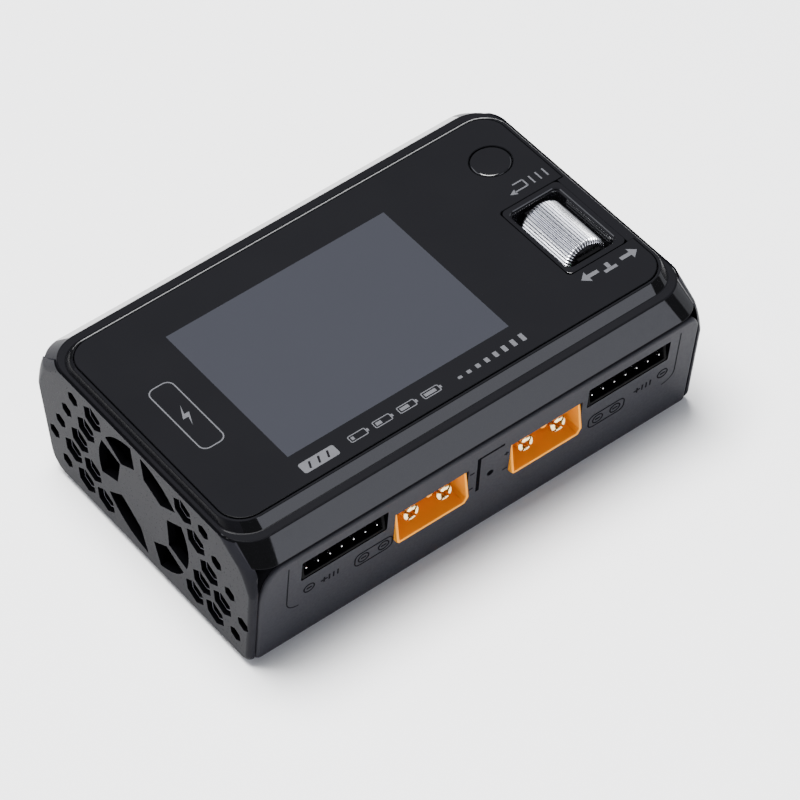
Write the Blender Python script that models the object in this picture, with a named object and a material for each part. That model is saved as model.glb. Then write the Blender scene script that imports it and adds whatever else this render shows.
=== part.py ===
"""Two-output balance battery charger for model aircraft batteries.

An assembly of separate pieces, lying flat on its rubber feet.
X runs along the long side, -Y is the front with the output ports, +Z is up.
The origin is the middle of the surface that the charger stands on.
Every size and place below is in millimetres; add_object turns them into metres.
"""
import math

import bmesh
import bpy
from mathutils import Matrix, Vector

MM = 0.001
GAP = 0.3                    # clearance kept between pieces that meet
PART_COLLECTION = "balance_charger"
CUTTER_COLLECTION = "cutters"

# ---- Case envelope ----
CASE_HALF_X = 49.0           # outside faces of the end caps
CASE_HALF_Y = 34.0           # widest line, at the seam between the shells
CASE_BOTTOM_Z = 0.8          # underside of the lower case, held up by the feet
FACE_Z = 34.0                # top of the faceplate
SEAM_Z = 28.7                # joint line between top shell and lower case
WALL = 1.6
FLOOR_THICKNESS = 1.2
FRONT_FOOT_Y = 28.17         # the front wall leans in to this half depth at the bottom
REAR_FOOT_RADIUS = 5.0
FRONT_FOOT_RADIUS = 1.0
INNER_X = 47.1               # both shells stop here, just inside the end caps

# ---- Top shell: outline half sizes, corner radius and height of each edge line ----
RIM_TOP = (47.0, 26.5, 5.2, 34.0)
RIM_ARRIS = (47.5, 26.95, 5.6, 33.6)
LEDGE_INNER = (47.8, 28.3, 6.0, 32.2)
LEDGE_OUTER = (48.6, 30.1, 6.3, 32.1)
SEAM_EDGE = (48.85, 34.0, 1.2, 28.85)
PLATE_HALF_X = 46.5
PLATE_HALF_Y = 26.03
PLATE_RADIUS = 4.8
PLATE_THICKNESS = 1.2
SHELF_TOP_Z = 32.5           # the shelf that the faceplate is bonded to
SHELF_UNDER_Z = 31.2
SHELF_OPENING_X = 44.3
SHELF_OPENING_Y = 23.6

# ---- End caps ----
CAP_THICKNESS = 1.6
CAP_TOP_Z = 31.6
CAP_TOP_HALF_Y = 27.6        # where the top edge turns into the slope
CAP_SHOULDER_Z = 27.9        # where the slope meets the side
VENT_CENTRE_Y = 0.94
VENT_CENTRE_Z = 17.34
VENT_PITCH = 6.14
VENT_LARGE_RADIUS = 2.6
VENT_SMALL_RADIUS = 1.6
GRILLE_INNER = 7.6           # distance from the hub's middle to each opening's inner side
GRILLE_INNER_HALF = 2.7
GRILLE_SIDE_X = 12.7
GRILLE_SIDE_HALF = 5.0
GRILLE_RADIUS = 13.65

# ---- Boards and the posts that tie them together ----
MAIN_BOARD_Z = 11.8
CONTROL_BOARD_Z = 25.2
BOARD_THICKNESS = 1.6
BOARD_HALF_X = 46.6
POST_X = 42.8
POST_FRONT_Y = -21.0
POST_REAR_Y = 22.0
POST_RADIUS = 2.5
SCREW_HOLE_RADIUS = 1.4
SCREW_SHANK_RADIUS = 1.1
SCREW_HEAD_RADIUS = 2.2
SCREW_TIP_Z = 19.0
SPACER_PLACES = ((-34.5, -18.5), (27.5, -18.5), (-37.2, 22.0), (36.0, 22.0))
SPACER_RADIUS = 2.2
FOOT_X = 34.0
FOOT_FRONT_Y = -20.5
FOOT_REAR_Y = 22.0
FOOT_RADIUS = 4.0
FOOT_HEIGHT = 1.2

# ---- Fan ----
FAN_SIZE = 30.0
FAN_DEPTH = 7.0
FAN_OUTER_X = -47.0
FAN_BORE_RADIUS = 14.0
FAN_BLADE_RADIUS = 13.2
FAN_HUB_RADIUS = 6.5
FAN_BLADES = 7
FAN_PITCH_DEG = 38.0

# ---- Display ----
LCD_LOW = (-36.0, -22.0)
LCD_HIGH = (20.0, 20.6)
LCD_Z = (30.3, 32.5)
HOLDER_MARGIN = 1.0
HOLDER_WALL = 3.0

# ---- Exit button ----
BUTTON_X = 39.2
BUTTON_Y = 15.5
BUTTON_RADIUS = 3.85
BUTTON_TRAVEL = 0.6
SWITCH_SIZE = 6.0

# ---- Select roller ----
ROLLER_X = 38.9
ROLLER_Y = -5.8
ROLLER_Z = 30.4
ROLLER_RADIUS = 4.6
ROLLER_LENGTH = 13.8
ROLLER_CHAMFER = 0.8
ROLLER_RIDGES = 36
ROLLER_RIDGE_DEPTH = 0.25
ROLLER_TRAVEL = 0.5
AXLE_RADIUS = 1.0
CHEEK_THICKNESS = 0.7
BEZEL_LOW = (32.4, -16.2)
BEZEL_HIGH = (45.4, 4.0)
BEZEL_WINDOW_LOW = (33.6, -14.5)
BEZEL_WINDOW_HIGH = (43.9, 2.4)

# ---- Power connectors: 15.6 x 8.2 mm housings with two 3.5 mm contacts ----
PORT_Z = 17.85
PORT_HALF_X = 7.8
PORT_HALF_Z = 4.1
PORT_WALL = 1.1
PORT_DEPTH = 14.5
PORT_CAVITY = 11.0
PORT_PIN_SPACING = 7.2
PORT_PIN_RADIUS = 1.75
OUTPUT_X = {"left": -10.9, "right": 14.06}
OUTPUT_MOUTH_Y = -32.0
INPUT_X = 16.0
INPUT_MOUTH_Y = 33.9

# ---- Balance headers: 7 pins at 2.5 mm ----
HEADER_X = {"left": -29.6, "right": 32.2}
HEADER_HALF_X = 8.9
HEADER_Z = (19.3, 24.5)
HEADER_Y = (-32.0, -24.0)
HEADER_WALL = 0.6
HEADER_BACK = 1.6
PIN_COUNT = 7
PIN_PITCH = 2.5
PIN_WIDTH = 0.64
PIN_Z = 21.1
PIN_TIP_Y = -31.6

# ---- Small ports ----
SOUNDER_X = 2.0
SOUNDER_Z = 17.1
SOUNDER_RADIUS = 3.1
USB_X = -30.0
USB_Z = 15.8
USB_HALF_X = 4.5
USB_HALF_Z = 1.65


# ---------------------------------------------------------------- helpers

def clear_scene():
    """Remove what the file holds, so that only this model is left."""
    for item in list(bpy.data.objects):
        bpy.data.objects.remove(item, do_unlink=True)


def get_collection(name):
    """Return the named collection, made and linked when it is missing."""
    found = bpy.data.collections.get(name)
    if found is None:
        found = bpy.data.collections.new(name)
        bpy.context.scene.collection.children.link(found)
    return found


def make_material(name, colour, roughness, metallic=0.0):
    """Make a Principled BSDF material, or return the one already made."""
    found = bpy.data.materials.get(name)
    if found is not None:
        return found
    material = bpy.data.materials.new(name)
    material.use_nodes = True
    shader = material.node_tree.nodes["Principled BSDF"]
    shader.inputs["Base Color"].default_value = (*colour, 1.0)
    shader.inputs["Roughness"].default_value = roughness
    shader.inputs["Metallic"].default_value = metallic
    material.diffuse_color = (*colour, 1.0)
    return material


def gloss_black():
    return make_material("gloss_black", (0.012, 0.012, 0.014), 0.12)


def satin_black():
    return make_material("satin_black", (0.03, 0.03, 0.034), 0.42)


def matte_black():
    return make_material("matte_black", (0.018, 0.018, 0.02), 0.6)


def rubber():
    return make_material("rubber", (0.02, 0.02, 0.02), 0.85)


def board_green():
    return make_material("board_green", (0.01, 0.09, 0.04), 0.45)


def lcd_glass():
    return make_material("lcd_glass", (0.09, 0.1, 0.11), 0.15)


def amber_plastic():
    return make_material("amber_plastic", (0.9, 0.33, 0.02), 0.38)


def gold_plate():
    return make_material("gold_plate", (0.85, 0.62, 0.25), 0.25, 1.0)


def bright_metal():
    return make_material("bright_metal", (0.75, 0.76, 0.78), 0.25, 1.0)


def add_object(name, bm, material, origin=(0.0, 0.0, 0.0)):
    """Turn a bmesh in millimetres into an object whose origin is the given point."""
    bmesh.ops.recalc_face_normals(bm, faces=bm.faces[:])
    bm.transform(Matrix.Scale(MM, 4) @ Matrix.Translation(-Vector(origin)))
    mesh = bpy.data.meshes.new(name)
    bm.to_mesh(mesh)
    bm.free()
    part = bpy.data.objects.new(name, mesh)
    part.location = Vector(origin) * MM
    get_collection(PART_COLLECTION).objects.link(part)
    mesh.materials.append(material)
    return part


def smooth(part, angle_deg=30.0):
    """Shade a round piece smooth, with its corners kept sharp."""
    part.data.shade_smooth()
    part.data.set_sharp_from_angle(angle=math.radians(angle_deg))


def add_boolean(part, bm, operation):
    """Give a part a Boolean modifier, with the bmesh as its hidden operand."""
    bmesh.ops.recalc_face_normals(bm, faces=bm.faces[:])
    bm.transform(Matrix.Scale(MM, 4))
    name = "%s_%s_%d" % (part.name, operation.lower(), len(part.modifiers) + 1)
    mesh = bpy.data.meshes.new(name)
    bm.to_mesh(mesh)
    bm.free()
    cutter = bpy.data.objects.new(name, mesh)
    get_collection(CUTTER_COLLECTION).objects.link(cutter)
    cutter.hide_render = True
    cutter.display_type = "WIRE"
    modifier = part.modifiers.new(name, "BOOLEAN")
    modifier.operation = operation
    modifier.solver = "EXACT"
    modifier.object = cutter


def cut(part, bm):
    add_boolean(part, bm, "DIFFERENCE")


def unite(part, bm):
    add_boolean(part, bm, "UNION")


def add_box(bm, low, high):
    """Add a box between two corners and return its vertices."""
    low = Vector(low)
    high = Vector(high)
    place = Matrix.Translation((low + high) / 2) @ Matrix.Diagonal((*(high - low), 1.0))
    return bmesh.ops.create_cube(bm, size=1.0, matrix=place)["verts"]


def add_plate(bm, low, high, radius, segments=5):
    """Add a box whose four upright edges are rounded."""
    verts = add_box(bm, low, high)
    edges = {edge for vert in verts for edge in vert.link_edges}
    upright = [e for e in edges if abs(e.verts[0].co.z - e.verts[1].co.z) > 1e-6]
    bmesh.ops.bevel(bm, geom=upright, offset=radius, segments=segments,
                    affect="EDGES", profile=0.5)


def add_cylinder(bm, start, end, radius, segments=24):
    """Add a cylinder between two points."""
    start = Vector(start)
    end = Vector(end)
    turn = (end - start).to_track_quat("Z", "Y").to_matrix().to_4x4()
    place = Matrix.Translation((start + end) / 2) @ turn
    bmesh.ops.create_cone(bm, cap_ends=True, segments=segments, radius1=radius,
                          radius2=radius, depth=(end - start).length, matrix=place)


def add_loft(bm, rings):
    """Join rings of equally many points into one closed body."""
    rows = [[bm.verts.new(point) for point in ring] for ring in rings]
    count = len(rows[0])
    for lower, upper in zip(rows, rows[1:]):
        for i in range(count):
            j = (i + 1) % count
            bm.faces.new((lower[i], lower[j], upper[j], upper[i]))
    bm.faces.new(rows[0])
    bm.faces.new(rows[-1])


def add_turned(bm, centre, profile, segments=24):
    """Turn a list of (height, radius) about the upright line through centre."""
    rings = []
    for height, radius in profile:
        ring = []
        for i in range(segments):
            angle = 2.0 * math.pi * i / segments
            ring.append((centre[0] + radius * math.cos(angle),
                         centre[1] + radius * math.sin(angle), height))
        rings.append(ring)
    add_loft(bm, rings)


def add_prism_x(bm, outline, x_start, x_end):
    """Extrude an outline of (y, z) points along X."""
    add_loft(bm, [[(x, y, z) for y, z in outline] for x in (x_start, x_end)])


def add_prism_y(bm, outline, y_start, y_end):
    """Extrude an outline of (x, z) points along Y."""
    add_loft(bm, [[(x, y, z) for x, z in outline] for y in (y_start, y_end)])


def arc(centre, radius, start_deg, end_deg, segments):
    """Points of an arc in a plane, both ends included."""
    points = []
    for i in range(segments + 1):
        angle = math.radians(start_deg + (end_deg - start_deg) * i / segments)
        points.append((centre[0] + radius * math.cos(angle),
                       centre[1] + radius * math.sin(angle)))
    return points


def rounded_rectangle(half_x, half_y, radius, segments=5):
    """Outline of a rectangle with round corners, anticlockwise."""
    points = []
    for sign_x, sign_y, start in ((1, 1, 0), (-1, 1, 90), (-1, -1, 180), (1, -1, 270)):
        centre = (sign_x * (half_x - radius), sign_y * (half_y - radius))
        points += arc(centre, radius, start, start + 90, segments)
    return points


def level_ring(level):
    """A rounded rectangle as a ring of points at its height."""
    half_x, half_y, radius, z = level
    return [(x, y, z) for x, y in rounded_rectangle(half_x, half_y, radius)]


def hexagon(centre_y, centre_z, radius):
    """A hexagon with a corner on top."""
    return arc((centre_y, centre_z), radius, 90, 390, 5)


def front_wall_y(z):
    """The front wall's outer face at a height: it leans outwards towards the seam."""
    lean = (CASE_HALF_Y - FRONT_FOOT_Y) / (SEAM_Z - CASE_BOTTOM_Z)
    return -(FRONT_FOOT_Y + (z - CASE_BOTTOM_Z) * lean)


# ---------------------------------------------------------------- case

def case_foot_outline(inset):
    """Front foot, floor and rear foot of the case section, from front to rear."""
    floor = CASE_BOTTOM_Z + inset * FLOOR_THICKNESS / WALL
    front = front_wall_y(floor) + inset
    rear = CASE_HALF_Y - inset
    front_radius = max(FRONT_FOOT_RADIUS - inset, 0.3)
    rear_radius = REAR_FOOT_RADIUS - inset
    points = arc((front + front_radius, floor + front_radius), front_radius, 190, 270, 3)
    points += arc((rear - rear_radius, floor + rear_radius), rear_radius, 270, 360, 6)
    return points


def post_places():
    return [(x, y) for x in (-POST_X, POST_X) for y in (POST_FRONT_Y, POST_REAR_Y)]


def build_lower_case():
    """A tub open at the top and at both ends, with port windows and screw bosses."""
    top = SEAM_Z - 0.2
    outer = [(front_wall_y(top), top)] + case_foot_outline(0.0) + [(CASE_HALF_Y, top)]
    inner = [(front_wall_y(top) + WALL, top)] + case_foot_outline(WALL)
    inner.append((CASE_HALF_Y - WALL, top))
    bm = bmesh.new()
    add_prism_x(bm, outer + inner[::-1], -INNER_X, INNER_X)
    part = add_object("lower_case", bm, matte_black())
    floor_top = CASE_BOTTOM_Z + FLOOR_THICKNESS
    bm = bmesh.new()
    for x, y in post_places():
        add_cylinder(bm, (x, y, floor_top - 0.4), (x, y, MAIN_BOARD_Z - GAP), POST_RADIUS)
    unite(part, bm)
    bm = bmesh.new()
    for x, y in post_places():
        add_turned(bm, (x, y), ((0.0, 2.6), (1.5, 2.6), (2.6, SCREW_HOLE_RADIUS),
                                (MAIN_BOARD_Z, SCREW_HOLE_RADIUS)))
    for x in (-FOOT_X, FOOT_X):
        for y in (FOOT_FRONT_Y, FOOT_REAR_Y):
            add_cylinder(bm, (x, y, 0.0), (x, y, FOOT_HEIGHT + GAP), FOOT_RADIUS + GAP)
    cut(part, bm)
    bm = bmesh.new()
    for x in OUTPUT_X.values():
        add_prism_y(bm, port_outline(x, GAP), -36.0, -27.0)
    for x in HEADER_X.values():
        add_box(bm, (x - HEADER_HALF_X - 0.25, -36.0, HEADER_Z[0] - 0.25),
                (x + HEADER_HALF_X + 0.25, -27.0, HEADER_Z[1] + 0.25))
    add_cylinder(bm, (SOUNDER_X, -36.0, SOUNDER_Z), (SOUNDER_X, -27.0, SOUNDER_Z), 0.6, 12)
    add_prism_y(bm, port_outline(INPUT_X, GAP), 30.0, 36.0)
    add_box(bm, (USB_X - USB_HALF_X - GAP, 30.0, USB_Z - USB_HALF_Z - GAP),
            (USB_X + USB_HALF_X + GAP, 36.0, USB_Z + USB_HALF_Z + GAP))
    cut(part, bm)


def cap_outline(grow):
    """Section of the end caps: feet, sides, and a slope at each top shoulder."""
    shoulder_y = front_wall_y(CAP_SHOULDER_Z)
    points = case_foot_outline(-grow)
    points.append((CASE_HALF_Y + grow, CAP_SHOULDER_Z + 0.5 * grow))
    points.append((CAP_TOP_HALF_Y + 0.5 * grow, CAP_TOP_Z + grow))
    points.append((-CAP_TOP_HALF_Y - 0.5 * grow, CAP_TOP_Z + grow))
    points.append((shoulder_y - grow, CAP_SHOULDER_Z + 0.5 * grow))
    return points


def grille_opening(turn_deg):
    """One of the six openings round the hub: a straight inner side and a round outer one."""
    half_angle = math.degrees(math.asin(GRILLE_SIDE_HALF / GRILLE_RADIUS))
    shape = [(GRILLE_INNER, GRILLE_INNER_HALF), (GRILLE_INNER, -GRILLE_INNER_HALF)]
    shape += arc((0.0, 0.0), GRILLE_RADIUS, -half_angle, half_angle, 4)
    turn = math.radians(turn_deg)
    outline = []
    for u, v in shape:
        outline.append((VENT_CENTRE_Y + u * math.cos(turn) - v * math.sin(turn),
                        VENT_CENTRE_Z + u * math.sin(turn) + v * math.cos(turn)))
    return outline


def vent_places():
    """Hexagon vents on a honeycomb round the grille: (y, z, radius) of each."""
    columns = {2: (2.25,), 1: (2.75,), 0: (3.25,), -1: (2.75, 3.75), -2: (2.25, 3.25)}
    places = []
    for row, offsets in columns.items():
        z = VENT_CENTRE_Z + row * VENT_PITCH * math.sqrt(3) / 2
        for sign in (-1, 1):
            for offset in offsets:
                places.append((VENT_CENTRE_Y + sign * offset * VENT_PITCH, z, VENT_LARGE_RADIUS))
            edge = offsets[-1] + 1
            places.append((VENT_CENTRE_Y + sign * edge * VENT_PITCH, z, VENT_SMALL_RADIUS))
    return places


def build_end_cap(name, side):
    """A vented end plate; side is -1 for the fan end and 1 for the other."""
    outer = side * CASE_HALF_X
    inner = side * (CASE_HALF_X - CAP_THICKNESS)
    bm = bmesh.new()
    add_prism_x(bm, cap_outline(0.0), inner, outer)
    part = add_object(name, bm, satin_black())
    bm = bmesh.new()
    for turn in range(0, 360, 60):
        add_prism_x(bm, grille_opening(turn), inner - side, outer + side)
    for y, z, radius in vent_places():
        add_prism_x(bm, hexagon(y, z, radius), inner - side, outer + side)
    cut(part, bm)


def build_top_shell():
    """The glossy top: stepped rim, two long slopes, shelf for the faceplate, screw posts."""
    bm = bmesh.new()
    levels = (SEAM_EDGE, LEDGE_OUTER, LEDGE_INNER, RIM_ARRIS, RIM_TOP)
    add_loft(bm, [level_ring(level) for level in levels])
    part = add_object("top_shell", bm, gloss_black())
    bm = bmesh.new()
    add_loft(bm, [level_ring((45.5, 32.9, 3.0, 28.0)), level_ring((45.5, 29.3, 3.0, SHELF_UNDER_Z))])
    cut(part, bm)
    bm = bmesh.new()
    for side in (-1, 1):
        add_prism_x(bm, cap_outline(GAP), side * INNER_X, side * 50.0)
    cut(part, bm)
    bm = bmesh.new()
    add_plate(bm, (-PLATE_HALF_X - GAP, -PLATE_HALF_Y - GAP, SHELF_TOP_Z),
              (PLATE_HALF_X + GAP, PLATE_HALF_Y + GAP, FACE_Z + 1.0), PLATE_RADIUS + GAP)
    cut(part, bm)
    bm = bmesh.new()
    add_box(bm, (-SHELF_OPENING_X, -SHELF_OPENING_Y, SHELF_UNDER_Z - 1.0),
            (SHELF_OPENING_X, SHELF_OPENING_Y, SHELF_TOP_Z + 0.5))
    cut(part, bm)
    bm = bmesh.new()
    for x, y in post_places():
        post_foot = MAIN_BOARD_Z + BOARD_THICKNESS + GAP
        add_cylinder(bm, (x, y, post_foot), (x, y, SHELF_UNDER_Z + 0.6), POST_RADIUS)
    unite(part, bm)
    bm = bmesh.new()
    for x, y in post_places():
        add_cylinder(bm, (x, y, 12.0), (x, y, SCREW_TIP_Z + 1.0), SCREW_HOLE_RADIUS)
    add_box(bm, (FAN_OUTER_X - GAP, VENT_CENTRE_Y - FAN_SIZE / 2 - 0.4, 28.0),
            (FAN_OUTER_X + FAN_DEPTH + 0.4, VENT_CENTRE_Y + FAN_SIZE / 2 + 0.4, SHELF_TOP_Z + 0.3))
    add_box(bm, (BEZEL_LOW[0], BEZEL_LOW[1] - GAP, 28.0),
            (BEZEL_HIGH[0] + GAP, BEZEL_HIGH[1] + GAP, SHELF_TOP_Z + 0.3))
    cut(part, bm)


def build_faceplate():
    """Flat printed panel over the display, with a button hole and a roller window."""
    bm = bmesh.new()
    add_plate(bm, (-PLATE_HALF_X, -PLATE_HALF_Y, FACE_Z - PLATE_THICKNESS),
              (PLATE_HALF_X, PLATE_HALF_Y, FACE_Z), PLATE_RADIUS)
    part = add_object("faceplate", bm, gloss_black())
    bm = bmesh.new()
    add_cylinder(bm, (BUTTON_X, BUTTON_Y, 30.0), (BUTTON_X, BUTTON_Y, 36.0), BUTTON_RADIUS + GAP, 32)
    add_plate(bm, (BEZEL_LOW[0] - GAP, BEZEL_LOW[1] - GAP, 30.0),
              (BEZEL_HIGH[0] + GAP, BEZEL_HIGH[1] + GAP, 36.0), 1.5, 3)
    cut(part, bm)


def build_roller_bezel():
    """Frame round the roller's window, set flush in the faceplate."""
    bm = bmesh.new()
    add_plate(bm, (*BEZEL_LOW, 31.2), (*BEZEL_HIGH, FACE_Z), 1.2, 3)
    part = add_object("roller_bezel", bm, gloss_black())
    bm = bmesh.new()
    add_plate(bm, (*BEZEL_WINDOW_LOW, 30.0), (*BEZEL_WINDOW_HIGH, 36.0), 0.8, 3)
    cut(part, bm)


# ---------------------------------------------------------------- display and boards

def build_display():
    """LCD module and the frame that holds it above the control board."""
    bm = bmesh.new()
    add_box(bm, (*LCD_LOW, LCD_Z[0]), (*LCD_HIGH, LCD_Z[1]))
    add_object("lcd_panel", bm, lcd_glass())
    low = (LCD_LOW[0] - HOLDER_MARGIN, LCD_LOW[1] - HOLDER_MARGIN)
    high = (LCD_HIGH[0] + HOLDER_MARGIN, LCD_HIGH[1] + HOLDER_MARGIN)
    holder_z = (CONTROL_BOARD_Z + BOARD_THICKNESS + GAP, LCD_Z[0] - GAP)
    bm = bmesh.new()
    add_box(bm, (*low, holder_z[0]), (*high, holder_z[1]))
    part = add_object("lcd_holder", bm, matte_black())
    bm = bmesh.new()
    add_box(bm, (low[0] + HOLDER_WALL, low[1] + HOLDER_WALL, 20.0),
            (high[0] - HOLDER_WALL, high[1] - HOLDER_WALL, 36.0))
    cut(part, bm)


def build_boards():
    """Main board low in the case, control board under the display, spacers between."""
    fan_low = VENT_CENTRE_Y - FAN_SIZE / 2 - 0.6
    fan_high = VENT_CENTRE_Y + FAN_SIZE / 2 + 0.6
    fan_edge = FAN_OUTER_X + FAN_DEPTH + 0.6
    bm = bmesh.new()
    add_box(bm, (-BOARD_HALF_X, -28.3, MAIN_BOARD_Z),
            (BOARD_HALF_X, 31.9, MAIN_BOARD_Z + BOARD_THICKNESS))
    main_board = add_object("main_board", bm, board_green())
    bm = bmesh.new()
    add_box(bm, (-50.0, fan_low, 10.0), (fan_edge, fan_high, 15.0))
    for x, y in post_places():
        add_cylinder(bm, (x, y, 10.0), (x, y, 15.0), SCREW_HOLE_RADIUS + 0.2, 16)
    cut(main_board, bm)
    bm = bmesh.new()
    add_box(bm, (-BOARD_HALF_X, -30.0, CONTROL_BOARD_Z),
            (BOARD_HALF_X, 31.0, CONTROL_BOARD_Z + BOARD_THICKNESS))
    control_board = add_object("control_board", bm, board_green())
    bm = bmesh.new()
    add_box(bm, (-50.0, fan_low, 24.0), (fan_edge, fan_high, 28.0))
    for x, y in post_places():
        add_cylinder(bm, (x, y, 24.0), (x, y, 28.0), POST_RADIUS + GAP, 16)
    add_box(bm, (ROLLER_X - 3.9, ROLLER_Y - 8.7, 24.0), (ROLLER_X + 3.9, ROLLER_Y + 8.7, 28.0))
    cut(control_board, bm)
    for index, (x, y) in enumerate(SPACER_PLACES, 1):
        bm = bmesh.new()
        add_cylinder(bm, (x, y, MAIN_BOARD_Z + BOARD_THICKNESS + GAP),
                     (x, y, CONTROL_BOARD_Z - GAP), SPACER_RADIUS, 6)
        add_object("board_spacer_%d" % index, bm, gold_plate())
    bm = bmesh.new()
    add_box(bm, (-14.0, -6.0, 23.3), (-4.0, 4.0, CONTROL_BOARD_Z - GAP))
    add_object("control_chip", bm, matte_black())


def build_power_stage():
    """Coils and capacitors on the main board, transistors and heatsink under it."""
    board_top = MAIN_BOARD_Z + BOARD_THICKNESS + GAP
    for index, x in enumerate((-20.0, 4.0), 1):
        bm = bmesh.new()
        add_plate(bm, (x - 6.5, 1.5, board_top), (x + 6.5, 14.5, board_top + 7.0), 2.0, 2)
        add_object("inductor_%d" % index, bm, matte_black())
    for index, x in enumerate((-18.0, -8.5, 1.0, 29.2), 1):
        bm = bmesh.new()
        add_turned(bm, (x, 24.0), ((board_top, 3.7), (board_top + 1.0, 4.0),
                                   (board_top + 10.2, 4.0), (board_top + 10.6, 3.6)), 20)
        part = add_object("capacitor_%d" % index, bm, bright_metal())
        smooth(part)
    for index, x in enumerate((-24.0, -8.0, 8.0, 22.0), 1):
        bm = bmesh.new()
        add_box(bm, (x - 3.0, -1.2, MAIN_BOARD_Z - 2.2), (x + 3.0, 5.2, MAIN_BOARD_Z - GAP))
        add_object("power_transistor_%d" % index, bm, matte_black())
    base_top = MAIN_BOARD_Z - 2.5
    base_under = base_top - 2.0
    fin_tip = 3.0
    front, pitch, fin, fins = -12.0, 3.3, 1.3, 9
    outline = [(front, base_top)]
    for index in range(fins):
        y = front + index * pitch
        outline += [(y, base_under), (y, fin_tip), (y + fin, fin_tip), (y + fin, base_under)]
    outline.append((front + (fins - 1) * pitch + fin, base_top))
    del outline[1], outline[-2]
    bm = bmesh.new()
    add_prism_x(bm, outline, -36.0, 30.0)
    add_object("heatsink", bm, bright_metal())


# ---------------------------------------------------------------- ports

def port_outline(centre_x, grow):
    """Section of a power connector: square on top, cut at the two lower corners."""
    half_x = PORT_HALF_X + grow
    low = PORT_Z - PORT_HALF_Z - grow
    high = PORT_Z + PORT_HALF_Z + grow
    left_cut, right_cut = 0.6, 1.5
    return [(centre_x - half_x + left_cut, low), (centre_x + half_x - right_cut, low),
            (centre_x + half_x, low + right_cut), (centre_x + half_x, high),
            (centre_x - half_x, high), (centre_x - half_x, low + left_cut)]


def build_power_connector(housing_name, contact_names, centre_x, mouth_y, inwards):
    """A housing open towards the outside, with two contacts standing in it."""
    back = mouth_y + inwards * PORT_DEPTH
    floor = mouth_y + inwards * PORT_CAVITY
    bm = bmesh.new()
    add_prism_y(bm, port_outline(centre_x, 0.0), mouth_y, back)
    part = add_object(housing_name, bm, amber_plastic())
    bm = bmesh.new()
    add_prism_y(bm, port_outline(centre_x, -PORT_WALL), mouth_y - inwards, floor)
    cut(part, bm)
    bm = bmesh.new()
    pin_places = [centre_x + side * PORT_PIN_SPACING / 2 for side in (-1, 1)]
    for x in pin_places:
        add_cylinder(bm, (x, floor - inwards, PORT_Z), (x, back + inwards, PORT_Z),
                     PORT_PIN_RADIUS + GAP, 20)
    cut(part, bm)
    tip = mouth_y + inwards
    tail = back + inwards * 3.0
    for name, x in zip(contact_names, pin_places):
        bm = bmesh.new()
        add_cylinder(bm, (x, tip, PORT_Z), (x, tail, PORT_Z), PORT_PIN_RADIUS, 20)
        smooth(add_object(name, bm, gold_plate()))


def build_balance_header(side, centre_x):
    """Shrouded seven-pin header; its pins share one soldered row behind it."""
    mouth, back = HEADER_Y
    bm = bmesh.new()
    add_box(bm, (centre_x - HEADER_HALF_X, mouth, HEADER_Z[0]),
            (centre_x + HEADER_HALF_X, back, HEADER_Z[1]))
    part = add_object("balance_header_" + side, bm, matte_black())
    bm = bmesh.new()
    add_box(bm, (centre_x - HEADER_HALF_X + HEADER_WALL, mouth - 1.0, HEADER_Z[0] + HEADER_WALL),
            (centre_x + HEADER_HALF_X - HEADER_WALL, back - HEADER_BACK, HEADER_Z[1] - HEADER_WALL))
    cut(part, bm)
    row_half = PIN_PITCH * (PIN_COUNT - 1) / 2
    pin_half = PIN_WIDTH / 2
    bm = bmesh.new()
    add_box(bm, (centre_x - row_half - pin_half - GAP, back - 3.0, PIN_Z - pin_half - GAP),
            (centre_x + row_half + pin_half + GAP, back + 1.0, PIN_Z + pin_half + GAP))
    cut(part, bm)
    bm = bmesh.new()
    add_box(bm, (centre_x - row_half - pin_half, back + 0.4, PIN_Z - 0.5),
            (centre_x + row_half + pin_half, back + 1.4, PIN_Z + 0.5))
    pins = add_object("balance_pins_" + side, bm, bright_metal())
    bm = bmesh.new()
    for index in range(PIN_COUNT):
        x = centre_x - row_half + index * PIN_PITCH
        add_box(bm, (x - pin_half, PIN_TIP_Y, PIN_Z - pin_half), (x + pin_half, back + 0.9, PIN_Z + pin_half))
    unite(pins, bm)


def build_small_ports():
    """Sounder behind its hole in the front wall, and a small socket in the rear wall."""
    bm = bmesh.new()
    add_cylinder(bm, (SOUNDER_X, -28.9, SOUNDER_Z), (SOUNDER_X, -24.6, SOUNDER_Z), SOUNDER_RADIUS)
    part = add_object("sounder", bm, matte_black())
    bm = bmesh.new()
    add_cylinder(bm, (SOUNDER_X, -31.0, SOUNDER_Z), (SOUNDER_X, -27.6, SOUNDER_Z), 0.8, 12)
    cut(part, bm)
    bm = bmesh.new()
    add_box(bm, (USB_X - USB_HALF_X, 26.7, USB_Z - USB_HALF_Z),
            (USB_X + USB_HALF_X, 33.8, USB_Z + USB_HALF_Z))
    part = add_object("usb_shell", bm, bright_metal())
    bm = bmesh.new()
    add_box(bm, (USB_X - USB_HALF_X + 0.4, 28.0, USB_Z - USB_HALF_Z + 0.4),
            (USB_X + USB_HALF_X - 0.4, 36.0, USB_Z + USB_HALF_Z - 0.4))
    cut(part, bm)
    bm = bmesh.new()
    add_box(bm, (USB_X - 3.4, 28.3, USB_Z - 0.35), (USB_X + 3.4, 32.8, USB_Z + 0.35))
    add_object("usb_tongue", bm, matte_black())


# ---------------------------------------------------------------- moving pieces

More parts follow.
